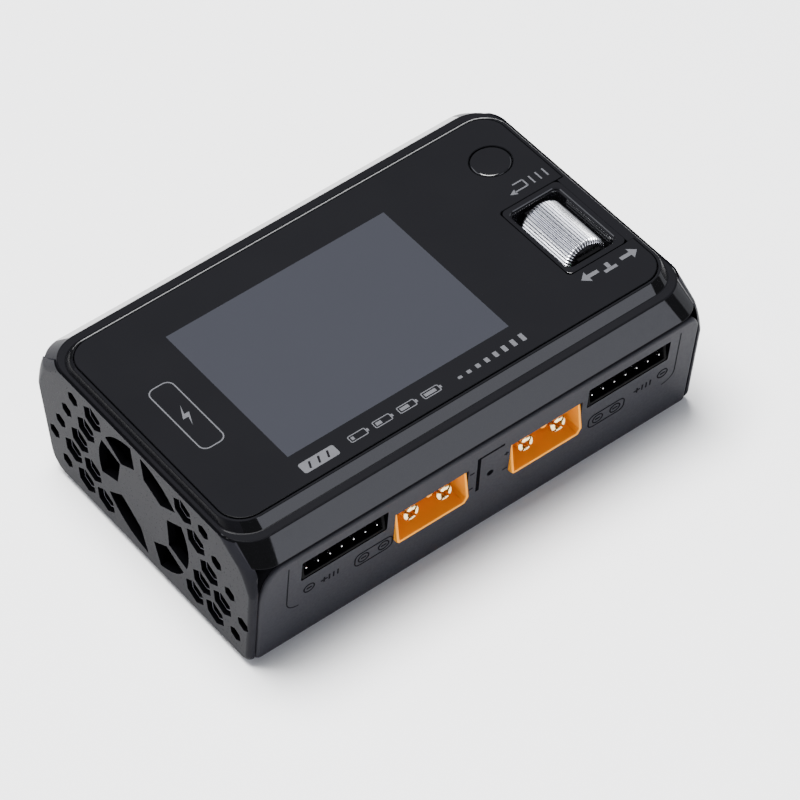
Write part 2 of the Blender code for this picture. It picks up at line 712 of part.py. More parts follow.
def build_exit_button():
    """Push button held under the faceplate, over the plunger of its switch."""
    place = (BUTTON_X, BUTTON_Y)
    plate_under = FACE_Z - PLATE_THICKNESS
    flange_top = plate_under - GAP
    bm = bmesh.new()
    add_turned(bm, place, ((31.3, 1.5), (31.7, 1.5), (31.7, 4.5), (flange_top, 4.5),
                           (flange_top, BUTTON_RADIUS), (FACE_Z - 0.3, BUTTON_RADIUS),
                           (FACE_Z, BUTTON_RADIUS - 0.4), (FACE_Z - 0.3, BUTTON_RADIUS - 1.4),
                           (FACE_Z - 0.5, 1.2)), 32)
    smooth(add_object("exit_button", bm, gloss_black(), (*place, FACE_Z)), 40.0)
    bm = bmesh.new()
    add_cylinder(bm, (*place, 29.2), (*place, 31.0), 1.6, 20)
    smooth(add_object("switch_plunger", bm, satin_black(), (*place, 31.0)))
    half = SWITCH_SIZE / 2
    bm = bmesh.new()
    add_box(bm, (BUTTON_X - half, BUTTON_Y - half, 27.1), (BUTTON_X + half, BUTTON_Y + half, 30.3))
    part = add_object("exit_switch", bm, satin_black())
    bm = bmesh.new()
    add_cylinder(bm, (*place, 29.2 - BUTTON_TRAVEL - GAP), (*place, 31.0), 1.6 + GAP, 20)
    cut(part, bm)


def build_roller():
    """Knurled roller on an axle, in a yoke that slides down in its tray to select."""
    axis = (ROLLER_X, ROLLER_Y, ROLLER_Z)
    end = ROLLER_LENGTH / 2
    steps = ((-end, ROLLER_CHAMFER), (-end + ROLLER_CHAMFER, 0.0),
             (end - ROLLER_CHAMFER, 0.0), (end, ROLLER_CHAMFER))
    rings = []
    for along, inset in steps:
        ring = []
        for i in range(2 * ROLLER_RIDGES):
            angle = math.pi * i / ROLLER_RIDGES
            radius = ROLLER_RADIUS - inset - ROLLER_RIDGE_DEPTH * (i % 2)
            ring.append((ROLLER_X + radius * math.sin(angle), ROLLER_Y + along,
                         ROLLER_Z + radius * math.cos(angle)))
        rings.append(ring)
    bm = bmesh.new()
    add_loft(bm, rings)
    part = add_object("roller", bm, bright_metal(), axis)
    bm = bmesh.new()
    add_cylinder(bm, (ROLLER_X, ROLLER_Y - 9.0, ROLLER_Z), (ROLLER_X, ROLLER_Y + 9.0, ROLLER_Z),
                 AXLE_RADIUS + GAP, 16)
    cut(part, bm)

    cheek_start = end + GAP
    cheek_end = cheek_start + CHEEK_THICKNESS
    bm = bmesh.new()
    add_cylinder(bm, (ROLLER_X, ROLLER_Y - cheek_end, ROLLER_Z),
                 (ROLLER_X, ROLLER_Y + cheek_end, ROLLER_Z), AXLE_RADIUS, 16)
    smooth(add_object("roller_axle", bm, bright_metal(), axis))

    base_under, base_top = 23.4, 24.6
    bm = bmesh.new()
    add_box(bm, (ROLLER_X - 3.4, ROLLER_Y - cheek_end, base_under),
            (ROLLER_X + 3.4, ROLLER_Y + cheek_end, base_top))
    part = add_object("roller_yoke", bm, satin_black(), axis)
    for side in (-1, 1):
        inner = ROLLER_Y + side * cheek_start
        outer = ROLLER_Y + side * cheek_end
        bm = bmesh.new()
        add_box(bm, (ROLLER_X - 2.5, min(inner, outer), base_top - 0.6),
                (ROLLER_X + 2.5, max(inner, outer), ROLLER_Z + 2.4))
        unite(part, bm)
    bm = bmesh.new()
    add_cylinder(bm, (ROLLER_X, ROLLER_Y - 9.0, ROLLER_Z), (ROLLER_X, ROLLER_Y + 9.0, ROLLER_Z),
                 AXLE_RADIUS + GAP, 16)
    cut(part, bm)

    tray_x, tray_y, tray_wall = 5.9, 10.1, 1.0
    tray_under = base_under - ROLLER_TRAVEL - GAP - tray_wall
    bm = bmesh.new()
    add_box(bm, (ROLLER_X - tray_x, ROLLER_Y - tray_y, tray_under),
            (ROLLER_X + tray_x, ROLLER_Y + tray_y, CONTROL_BOARD_Z - GAP))
    part = add_object("encoder_tray", bm, satin_black())
    bm = bmesh.new()
    add_box(bm, (ROLLER_X - tray_x + tray_wall, ROLLER_Y - tray_y + tray_wall, tray_under + tray_wall),
            (ROLLER_X + tray_x - tray_wall, ROLLER_Y + tray_y - tray_wall, 30.0))
    cut(part, bm)


def build_fan():
    """Axial fan behind the left end cap: square frame and seven-bladed rotor."""
    half = FAN_SIZE / 2
    centre_z = VENT_CENTRE_Z + 0.06
    outer = FAN_OUTER_X
    inner = FAN_OUTER_X + FAN_DEPTH
    strut_x = inner - 1.0
    section = [(VENT_CENTRE_Y + y, centre_z + z) for y, z in rounded_rectangle(half, half, 2.0, 3)]
    bm = bmesh.new()
    add_prism_x(bm, section, outer, inner)
    frame = add_object("fan_frame", bm, matte_black())
    axis = (VENT_CENTRE_Y, centre_z)
    bm = bmesh.new()
    add_cylinder(bm, (outer - 1.0, *axis), (inner + 1.0, *axis), FAN_BORE_RADIUS, 40)
    cut(frame, bm)
    bm = bmesh.new()
    add_box(bm, (strut_x, axis[0] - 14.6, axis[1] - 1.0), (inner, axis[0] + 14.6, axis[1] + 1.0))
    unite(frame, bm)
    bm = bmesh.new()
    add_box(bm, (strut_x, axis[0] - 1.0, axis[1] - 14.6), (inner, axis[0] + 1.0, axis[1] + 14.6))
    unite(frame, bm)
    bm = bmesh.new()
    add_cylinder(bm, (strut_x - 0.05, *axis), (inner - 0.05, *axis), FAN_HUB_RADIUS, 24)
    unite(frame, bm)
    bm = bmesh.new()
    add_cylinder(bm, (strut_x - 1.0, *axis), (inner + 1.0, *axis), 1.15, 12)
    cut(frame, bm)

    hub_outer = outer + 0.7
    hub_inner = strut_x - 0.5
    middle_x = (hub_outer + hub_inner) / 2
    bm = bmesh.new()
    add_cylinder(bm, (hub_outer, *axis), (hub_inner, *axis), FAN_HUB_RADIUS, 28)
    rotor = add_object("fan_rotor", bm, matte_black(), (middle_x, *axis))
    bm = bmesh.new()
    add_cylinder(bm, (hub_inner - 0.5, *axis), (inner - 0.2, *axis), 0.8, 12)
    unite(rotor, bm)
    bm = bmesh.new()
    for index in range(FAN_BLADES):
        verts = add_box(bm, (-2.6, -0.4, FAN_HUB_RADIUS - 1.5), (2.6, 0.4, FAN_BLADE_RADIUS))
        turn = Matrix.Rotation(2.0 * math.pi * index / FAN_BLADES, 4, "X")
        pitch = Matrix.Rotation(math.radians(FAN_PITCH_DEG), 4, "Z")
        place = Matrix.Translation((middle_x, *axis)) @ turn @ pitch
        bmesh.ops.transform(bm, matrix=place, verts=verts)
    unite(rotor, bm)


# ---------------------------------------------------------------- fasteners and feet

def build_screws_and_feet():
    """Countersunk screws up through the floor, and four round feet in pockets."""
    for index, (x, y) in enumerate(post_places(), 1):
        bm = bmesh.new()
        add_turned(bm, (x, y), ((1.0, SCREW_HEAD_RADIUS), (1.5, SCREW_HEAD_RADIUS),
                                (2.6, SCREW_SHANK_RADIUS), (SCREW_TIP_Z, SCREW_SHANK_RADIUS)), 16)
        smooth(add_object("case_screw_%d" % index, bm, bright_metal()))
    places = [(x, y) for x in (-FOOT_X, FOOT_X) for y in (FOOT_FRONT_Y, FOOT_REAR_Y)]
    for index, (x, y) in enumerate(places, 1):
        bm = bmesh.new()
        add_turned(bm, (x, y), ((0.0, FOOT_RADIUS - 0.3), (0.3, FOOT_RADIUS),
                                (FOOT_HEIGHT, FOOT_RADIUS)), 24)
        smooth(add_object("rubber_foot_%d" % index, bm, rubber()))


def main():
    clear_scene()
    build_lower_case()
    build_end_cap("fan_end_cap", -1)
    build_end_cap("vent_end_cap", 1)
    build_top_shell()
    build_faceplate()
    build_roller_bezel()
    build_display()
    build_boards()
    build_power_stage()
    for side, x in OUTPUT_X.items():
        contacts = ["output_contact_%s_%d" % (side, index) for index in (1, 2)]
        build_power_connector("output_housing_" + side, contacts, x, OUTPUT_MOUTH_Y, 1)
    build_power_connector("input_housing", ["input_contact_1", "input_contact_2"],
                          INPUT_X, INPUT_MOUTH_Y, -1)
    for side, x in HEADER_X.items():
        build_balance_header(side, x)
    build_small_ports()
    build_exit_button()
    build_roller()
    build_fan()
    build_screws_and_feet()


main()
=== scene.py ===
"""Looks of a two-output balance battery charger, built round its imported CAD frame.

Lengths are in millimetres until piece() turns a mesh into an object in metres.
-Y is the front with the output ports, -X the fan end, +Z up.
"""
import math

import bmesh
import bpy
from mathutils import Matrix, Vector


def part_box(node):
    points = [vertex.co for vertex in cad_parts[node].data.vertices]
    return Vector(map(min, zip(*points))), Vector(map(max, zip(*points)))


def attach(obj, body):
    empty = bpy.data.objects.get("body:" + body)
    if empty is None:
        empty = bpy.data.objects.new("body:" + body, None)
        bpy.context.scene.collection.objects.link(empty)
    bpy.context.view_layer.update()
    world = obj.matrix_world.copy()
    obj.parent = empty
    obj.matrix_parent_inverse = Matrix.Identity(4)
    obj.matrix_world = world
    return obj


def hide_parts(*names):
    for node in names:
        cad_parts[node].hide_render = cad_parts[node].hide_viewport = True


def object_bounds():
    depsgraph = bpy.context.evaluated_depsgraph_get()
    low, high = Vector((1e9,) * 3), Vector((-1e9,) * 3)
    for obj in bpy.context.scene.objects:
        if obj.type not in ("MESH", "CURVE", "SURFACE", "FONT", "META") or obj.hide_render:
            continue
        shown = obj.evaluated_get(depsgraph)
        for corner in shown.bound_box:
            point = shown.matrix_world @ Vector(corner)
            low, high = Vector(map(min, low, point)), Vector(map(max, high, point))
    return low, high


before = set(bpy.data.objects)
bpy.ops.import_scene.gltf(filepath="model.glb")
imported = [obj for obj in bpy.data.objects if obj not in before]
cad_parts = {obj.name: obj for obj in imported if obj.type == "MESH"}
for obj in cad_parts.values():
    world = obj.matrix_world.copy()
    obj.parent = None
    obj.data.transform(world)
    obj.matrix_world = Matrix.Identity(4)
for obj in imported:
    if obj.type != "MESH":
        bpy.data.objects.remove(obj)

CAD_BOX = [list(corner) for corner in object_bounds()]
MM = 0.001
HALF_X = CAD_BOX[1][0] / MM
HALF_Y = CAD_BOX[1][1] / MM
FACE_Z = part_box("faceplate")[1].z / MM
CASE_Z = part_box("lower_case")[0].z / MM
SEAM_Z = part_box("lower_case")[1].z / MM
CORNER_STEPS = 14

# -------- camera, floor, lights

CAMERA_AZIMUTH = -32.507
CAMERA_ELEVATION = 47.219
CAMERA_ROLL = -5.588
CAMERA_DISTANCE = 776.9
CAMERA_PAN = (4.756, -4.505)
CAMERA_AIM_Z = 17.5
CAMERA_LENS = 196.86
CAMERA_SENSOR = 36.0
LIGHT_AIM = Vector((0.0, 0.0, 0.015))     # metres
FLOOR_HALF_SIZE = 3.0


def place_camera():
    """A long lens from the front left, rolled slightly, as a product shot."""
    azimuth, elevation, roll = (math.radians(a) for a in (CAMERA_AZIMUTH, CAMERA_ELEVATION, CAMERA_ROLL))
    back = Vector((math.sin(azimuth) * math.cos(elevation),
                   -math.cos(azimuth) * math.cos(elevation), math.sin(elevation)))
    right = (-back).cross(Vector((0, 0, 1))).normalized()
    up = right.cross(-back)
    rolled_right = math.cos(roll) * right + math.sin(roll) * up
    rolled_up = -math.sin(roll) * right + math.cos(roll) * up
    place = back * CAMERA_DISTANCE + Vector((0, 0, CAMERA_AIM_Z))
    place += rolled_right * CAMERA_PAN[0] + rolled_up * CAMERA_PAN[1]
    data = bpy.data.cameras.new("camera")
    data.lens = CAMERA_LENS
    data.sensor_width = CAMERA_SENSOR
    data.clip_start = 0.01
    data.dof.use_dof = False
    camera = bpy.data.objects.new("camera", data)
    axes = Matrix((rolled_right, rolled_up, back)).transposed()
    camera.matrix_world = Matrix.Translation(place * MM) @ axes.to_4x4()
    bpy.context.scene.collection.objects.link(camera)
    bpy.context.scene.camera = camera


def area_light(name, direction, distance, size, power, colour=(1.0, 1.0, 1.0)):
    """A rectangular soft box in some direction from the object, facing it."""
    data = bpy.data.lights.new(name, "AREA")
    data.shape = "RECTANGLE"
    data.size, data.size_y = size
    data.energy = power
    data.color = colour
    light = bpy.data.objects.new(name, data)
    aim = Vector(direction).normalized()
    turn = aim.to_track_quat("Z", "Y").to_matrix().to_4x4()
    light.matrix_world = Matrix.Translation(aim * distance + LIGHT_AIM) @ turn
    bpy.context.scene.collection.objects.link(light)


def light_studio():
    """White floor and a dim room: the boxes stand where the flat gloss doesn't mirror them,
    but for a narrow one in front whose reflection draws the sloping front edges."""
    world = bpy.data.worlds.new("studio")
    bpy.context.scene.world = world
    world.use_nodes = True
    background = world.node_tree.nodes["Background"]
    background.inputs["Color"].default_value = (0.9, 0.93, 1.0, 1.0)
    background.inputs["Strength"].default_value = 0.14
    cool = (0.90, 0.92, 1.0)
    area_light("front_strip", (0.285, -0.748, 0.60), 0.904, (0.39, 0.26), 0.78, (0.86, 0.88, 1.0))
    area_light("overhead", (-0.08, 0.12, 1.0), 1.1, (0.62, 0.62), 52.0)
    area_light("rear_left", (-0.50, 0.57, 0.65), 1.1, (0.9, 0.6), 4.5, cool)
    area_light("right_fill", (0.95, 0.02, 0.33), 1.1, (1.0, 0.7), 2.2, cool)
    area_light("front_low", (0.05, -0.96, 0.22), 1.0, (0.6, 0.22), 4.5, cool)
    bm = bmesh.new()
    bmesh.ops.create_grid(bm, x_segments=1, y_segments=1, size=FLOOR_HALF_SIZE)
    floor = add_object("floor", bm)
    floor.data.materials.append(plain_material("floor_white", (0.92, 0.92, 0.92), 0.7, 0.0, 8.0, 0.02, 0.2))


# -------- materials

def add_node(tree, kind, data_type=None, **inputs):
    """A shader node with inputs set; an underscore in an input's name stands for a space."""
    node = tree.nodes.new("ShaderNode" + kind)
    if data_type:
        node.data_type = data_type
    for name, value in inputs.items():
        node.inputs[name.replace("_", " ")].default_value = value
    return node


def plain_material(name, colour, roughness, metallic, grain, bump, gloss=0.5, colour_shift=0.12,
                   rough_shift=0.25, stretch=(1.0, 1.0, 1.0), ior=1.5):
    """A moulded or machined surface: fine grain in colour, roughness and height.

    grain is the noise's scale per metre, bump the height of the grain in millimetres, gloss
    the strength of the clear reflection, and ior how strong it gets at a glance.
    """
    material = bpy.data.materials.new(name)
    material.use_nodes = True
    tree = material.node_tree
    link = tree.links.new
    shader = tree.nodes["Principled BSDF"]
    shader.inputs["Metallic"].default_value = metallic
    shader.inputs["Specular IOR Level"].default_value = gloss
    shader.inputs["IOR"].default_value = ior
    coordinates = add_node(tree, "TexCoord")
    mapping = add_node(tree, "Mapping", Scale=stretch)
    link(coordinates.outputs["Object"], mapping.inputs["Vector"])
    broad = add_node(tree, "TexNoise", Scale=grain * 0.12, Detail=3.0)
    fine = add_node(tree, "TexNoise", Scale=grain, Detail=4.0)
    for noise in (broad, fine):
        link(mapping.outputs["Vector"], noise.inputs["Vector"])
    dark = (*[c * (1.0 - colour_shift) for c in colour], 1.0)
    light = (*[min(c * (1.0 + colour_shift), 1.0) for c in colour], 1.0)
    mix = add_node(tree, "Mix", "RGBA", A=dark, B=light)
    link(broad.outputs["Fac"], mix.inputs["Factor"])
    link(mix.outputs["Result"], shader.inputs["Base Color"])
    spread = add_node(tree, "MapRange", From_Min=0.3, From_Max=0.7,
                      To_Min=roughness * (1.0 - rough_shift), To_Max=roughness * (1.0 + rough_shift))
    link(fine.outputs["Fac"], spread.inputs["Value"])
    link(spread.outputs["Result"], shader.inputs["Roughness"])
    height = add_node(tree, "Bump", Strength=0.5, Distance=bump * MM)
    link(fine.outputs["Fac"], height.inputs["Height"])
    link(height.outputs["Normal"], shader.inputs["Normal"])
    return material


def board_material():
    """Green solder mask with copper tracks showing through as a lighter green grid."""
    green = (0.008, 0.075, 0.035)
    material = plain_material("solder_mask", green, 0.35, 0.0, 900.0, 0.01, 0.4)
    tree = material.node_tree
    shader = tree.nodes["Principled BSDF"]
    old = shader.inputs["Base Color"].links[0].from_socket
    brick = add_node(tree, "TexBrick", Scale=260.0, Mortar_Size=0.04, Color1=(*green, 1.0),
                     Color2=(0.006, 0.06, 0.03, 1.0), Mortar=(0.03, 0.2, 0.08, 1.0))
    mapping = next(n for n in tree.nodes if n.type == "MAPPING")
    tree.links.new(mapping.outputs["Vector"], brick.inputs["Vector"])
    mix = add_node(tree, "Mix", "RGBA", Factor=0.6)
    tree.links.new(old, mix.inputs["A"])
    tree.links.new(brick.outputs["Color"], mix.inputs["B"])
    tree.links.new(mix.outputs["Result"], shader.inputs["Base Color"])
    return material


PALETTE = {}


def build_palette():
    """Make every look the charger uses, by a short name."""
    make = plain_material
    PALETTE.update(
        gloss=make("gloss_black", (0.0012, 0.0012, 0.0014), 0.07, 0.0, 700.0, 0.0004),
        plate=make("faceplate_black", (0.0052, 0.0052, 0.0062), 0.07, 0.0, 500.0, 0.0002),
        screen=make("screen_grey", (0.0225, 0.0235, 0.0290), 0.09, 0.0, 500.0, 0.0002, 0.5, 0.02),
        satin=make("satin_black", (0.0110, 0.0110, 0.0135), 0.30, 0.0, 2600.0, 0.0012, 0.5,
                   0.05, 0.12, ior=1.06),
        matte=make("matte_black", (0.0180, 0.0180, 0.0220), 0.42, 0.0, 2200.0, 0.002, 0.5,
                   0.05, 0.12, ior=1.12),
        # edge: light grey, a painted highlight on the vents' rims and on the beads inside them.
        edge=make("painted_edge_highlight", (0.0650, 0.0650, 0.0740), 0.35, 0.0, 2200.0, 0.001, ior=1.15),
        arris=make("dull_arris", (0.0040, 0.0040, 0.0048), 0.25, 0.0, 2200.0, 0.001, ior=1.10),
        # mark: darker than the matte panel the marks stand on, a painted shade for the moulded relief.
        mark=make("moulded_mark_painted_shade", (0.0040, 0.0040, 0.0050), 0.36, 0.0, 1800.0, 0.003, ior=1.03),
        # groove: near black and without reflection, a painted shade for the gaps, openings and grooves it is
        # put on.
        groove=make("groove_painted_shade", (0.002, 0.002, 0.0025), 0.6, 0.0, 1800.0, 0.004, ior=1.02),
        ink=make("print_ink", (0.060, 0.061, 0.068), 0.45, 0.0, 3000.0, 0.001, 0.3),
        amber=make("amber_nylon", (0.82, 0.30, 0.018), 0.45, 0.0, 1400.0, 0.004, 0.5, 0.06, ior=1.1),
        gold=make("gold_plate", (0.92, 0.72, 0.36), 0.24, 1.0, 1500.0, 0.001),
        tin=make("tin_plate", (0.86, 0.87, 0.88), 0.22, 1.0, 1500.0, 0.001),
        roller=make("knurled_aluminium", (0.82, 0.83, 0.87), 0.26, 1.0, 1800.0, 0.002,
                    stretch=(1.0, 0.06, 1.0)),
        knurl=make("knurl_shadow", (0.035, 0.035, 0.042), 0.4, 1.0, 1800.0, 0.002),
        aluminium=make("bare_aluminium", (0.72, 0.73, 0.75), 0.35, 1.0, 1600.0, 0.002,
                       stretch=(0.05, 1.0, 1.0)),
        steel=make("screw_steel", (0.20, 0.20, 0.21), 0.32, 1.0, 2000.0, 0.002),
        inner=make("inner_black", (0.0022, 0.0022, 0.0025), 0.5, 0.0, 1500.0, 0.004, ior=1.08),
        rubber=make("foot_rubber", (0.010, 0.010, 0.010), 0.85, 0.0, 2600.0, 0.02, 0.2),
        board=board_material())


# -------- mesh tools

def corners(node):
    """Lowest and highest corner of a CAD node, in millimetres."""
    low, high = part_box(node)
    return low / MM, high / MM


def extent(node):
    """The same two corners and the point midway."""
    low, high = corners(node)
    return low, high, (low + high) / 2


def middle(node):
    return extent(node)[2]


def add_object(name, bm):
    """Put a bmesh in the scene as an object, and free the bmesh."""
    mesh = bpy.data.meshes.new(name)
    bm.to_mesh(mesh)
    bm.free()
    made = bpy.data.objects.new(name, mesh)
    bpy.context.scene.collection.objects.link(made)
    return made


def add_solid(name, bm):
    """The same for a closed form in millimetres."""
    bmesh.ops.recalc_face_normals(bm, faces=bm.faces[:])
    bm.transform(Matrix.Scale(MM, 4))
    return add_object(name, bm)


def piece(name, bm, materials, body="case", stands_for=()):
    """Turn a bmesh in millimetres into a piece that rides on a body."""
    made = add_solid(name, bm)
    for material in materials:
        made.data.materials.append(PALETTE[material])
    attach(made, body)
    if stands_for:
        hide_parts(*stands_for)
    return made


def bake_modifiers(made):
    """Replace a piece's mesh with what its modifiers make of it."""
    graph = bpy.context.evaluated_depsgraph_get()
    graph.update()
    mesh = bpy.data.meshes.new_from_object(made.evaluated_get(graph))
    mesh.name = made.name
    made.modifiers.clear()
    made.data = mesh


def combine(made, bm, operation):
    """Cut a bmesh out of a piece, or join it on, as one clean solid."""
    operand = add_solid("operand", bm)
    modifier = made.modifiers.new("combine", "BOOLEAN")
    modifier.operation = operation
    modifier.solver = "EXACT"
    modifier.object = operand
    bake_modifiers(made)
    bpy.data.objects.remove(operand)


def carve(made, bm):
    combine(made, bm, "DIFFERENCE")


def fuse(made, bm):
    combine(made, bm, "UNION")


def soften(made, width, segments=2, angle_deg=35.0):
    """Round a piece's sharp edges by a width in millimetres."""
    modifier = made.modifiers.new("soften", "BEVEL")
    modifier.width = width * MM
    modifier.segments = segments
    modifier.limit_method = "ANGLE"
    modifier.angle_limit = math.radians(angle_deg)
    modifier.use_clamp_overlap = True
    bake_modifiers(made)


def darken(made, test, index=1):
    """Give another material to the faces a test on centre (in mm) and normal picks out."""
    for face in made.data.polygons:
        if test(face.center / MM, face.normal):
            face.material_index = index


def shade(made, angle_deg=35.0):
    """Smooth shading that keeps flat faces flat and corners crisp."""
    made.data.shade_smooth()
    made.data.set_sharp_from_angle(angle=math.radians(angle_deg))
    modifier = made.modifiers.new("normals", "WEIGHTED_NORMAL")
    modifier.keep_sharp = True
    bake_modifiers(made)


def add_box(bm, low, high):
    low, high = Vector(low), Vector(high)
    place = Matrix.Translation((low + high) / 2) @ Matrix.Diagonal((*(high - low), 1.0))
    return bmesh.ops.create_cube(bm, size=1.0, matrix=place)["verts"]


def boxed(low, high):
    bm = bmesh.new()
    add_box(bm, low, high)
    return bm


def add_loft(bm, rings, ring_closed=False):
    """Skin rings of equal length: capped at its ends, or closed into a ring."""
    rows = [[bm.verts.new(point) for point in ring] for ring in rings]
    pairs = list(zip(rows, rows[1:]))
    if ring_closed:
        pairs.append((rows[-1], rows[0]))
    count = len(rows[0])
    for lower, upper in pairs:
        for i in range(count):
            j = (i + 1) % count
            bm.faces.new((lower[i], lower[j], upper[j], upper[i]))
    if not ring_closed:
        bm.faces.new(rows[0])
        bm.faces.new(rows[-1])
    return [vert for row in rows for vert in row]


def lofted(rings, ring_closed=False):
    """A new bmesh with one loft in it."""
    bm = bmesh.new()
    add_loft(bm, rings, ring_closed)
    return bm


def add_prism(bm, along, outline, start, end):
    """A straight prism of an outline, between two places on the axis that along lays it on."""
    add_loft(bm, [along(outline, start), along(outline, end)])


def arc(centre, radius, start_deg, end_deg, steps):
    """Points on a circular arc, both ends included."""
    points = []
    for i in range(steps + 1):
        angle = math.radians(start_deg + (end_deg - start_deg) * i / steps)
        points.append((centre[0] + radius * math.cos(angle), centre[1] + radius * math.sin(angle)))
    return points


def rounded(half_u, half_v, radius, steps=6, centre=(0.0, 0.0)):
    """Outline of a rectangle with round corners, anticlockwise."""
    points = []
    for sign_u, sign_v, start in ((1, 1, 0), (-1, 1, 90), (-1, -1, 180), (1, -1, 270)):
        pivot = (centre[0] + sign_u * (half_u - radius), centre[1] + sign_v * (half_v - radius))
        points += arc(pivot, radius, start, start + 90, steps)
    return points


def inset(outline, distance):
    """Move every side of an outline inwards; the outline runs anticlockwise."""
    moved = []
    count = len(outline)
    for i in range(count):
        before = Vector(outline[i]) - Vector(outline[i - 1])
        after = Vector(outline[(i + 1) % count]) - Vector(outline[i])
        first = Vector((-before.y, before.x)).normalized()
        second = Vector((-after.y, after.x)).normalized()
        bisector = first + second
        moved.append(Vector(outline[i]) + bisector * (2.0 * distance / bisector.length_squared))
    return [tuple(point) for point in moved]


def along_x(outline, x):
    return [(x, y, z) for y, z in outline]


def along_y(outline, y):
    return [(x, y, z) for x, z in outline]


def along_z(outline, z):
    return [(x, y, z) for x, y in outline]


def add_turned(bm, centre, profile, steps=48, axis="Z"):
    """Turn (along, radius) points about an axis through centre, closed at both ends."""
    rings = []
    for along, radius in profile:
        circle = arc((0.0, 0.0), max(radius, 0.001), 0.0, 360.0 * (steps - 1) / steps, steps - 1)
        if axis == "Z":
            ring = [(centre[0] + u, centre[1] + v, along) for u, v in circle]
        elif axis == "Y":
            ring = [(centre[0] + u, along, centre[2] + v) for u, v in circle]
        else:
            ring = [(along, centre[1] + u, centre[2] + v) for u, v in circle]
        rings.append(ring)
    add_loft(bm, rings)


# -------- top shell and faceplate

LEDGE_Z = FACE_Z - 1.87
LEDGE_CORNER = 6.3
LEDGE_HALF_X = 48.6
SHOULDER = (27.45, 31.9)     # end cap's top edge ends here (half y, z)
SHOULDER_FOOT = (31.8, 28.75)
SEAM_CORNER = 5.7


def quadrants(point_at):
    """Four mirrored corners, anticlockwise, from a function of the corner angle."""
    points = []
    for sign_x, sign_y in ((1, 1), (-1, 1), (-1, -1), (1, -1)):
        steps = range(CORNER_STEPS + 1)
        if sign_x * sign_y < 0:
            steps = reversed(steps)
        for i in steps:
            x, y = point_at(90.0 * i / CORNER_STEPS)
            points.append((sign_x * x, sign_y * y))
    return points


def level(half_x, half_y, radius, z):
    """A rounded rectangle ring at one height."""
    def point_at(angle_deg):
        angle = math.radians(angle_deg)
        return (half_x - radius + radius * math.cos(angle), half_y - radius + radius * math.sin(angle))
    return along_z(quadrants(point_at), z)


def front_y(z):
    """Outer face of the front wall, which leans outwards towards the seam."""
    foot_half_y = 28.17
    lean = (HALF_Y - foot_half_y) / (SEAM_Z + 0.2 - CASE_Z)
    return -(foot_half_y + (z - CASE_Z) * lean)


def rear_y(z):
    """Outer face of the rear wall: upright, and drawn in a little towards its foot."""
    return HALF_Y - 0.6 * max(0.0, 20.0 - z) / 15.0


def hull_ring(z, half_x, radius, grow):
    """Plan of the whole body at a height, corners rounded, for trimming the end pieces."""
    front, rear = -front_y(z) + grow, HALF_Y + grow
    if z > SEAM_Z + 0.2:
        front = rear = HALF_Y + grow - (z - SEAM_Z - 0.2) * 1.18
    half_x += grow
    points = []
    for sign_x, y, start in ((1, rear - radius, 0), (-1, rear - radius, 90),
                             (-1, radius - front, 180), (1, radius - front, 270)):
        points += arc((sign_x * (half_x - radius), y), radius, start, start + 90, 12)
    return along_z(points, z)


def hull_form(grow):
    """The body's outer form: upright corners nearly sharp, swelling to broad ones at the seam."""
    levels = ((-1.0, 0.9), (20.5, 0.9), (22.2, 1.3), (23.6, 1.9), (25.2, 2.7), (26.8, 3.7),
              (28.2, 4.9), (SEAM_Z + 0.2, SEAM_CORNER), (SHOULDER[1], 6.2))
    return lofted([hull_ring(z, HALF_X, radius, grow) for z, radius in levels])


def cap_section(lid=0.0):
    """Outline of an end cap in Y and Z, anticlockwise from the front foot.

    With a lid, its top corners are square and it reaches that much higher.
    """
    foot = 2.8
    points = arc((front_y(CASE_Z + foot) + foot, CASE_Z + foot), foot, 188, 270, 8)
    points += arc((rear_y(5.4) - 4.6, CASE_Z + 4.6), 4.6, 270, 360, 12)
    points.append((HALF_Y, 20.0))
    if lid:
        points += [(HALF_Y, SHOULDER[1] + lid), (front_y(SEAM_Z), SHOULDER[1] + lid)]
        points.append((front_y(SEAM_Z), SEAM_Z))
    else:
        points += [(HALF_Y, 28.5), SHOULDER_FOOT, SHOULDER, (-SHOULDER[0], SHOULDER[1])]
        points += [(-SHOULDER_FOOT[0], SHOULDER_FOOT[1]), (front_y(28.5), 28.5)]
    return points


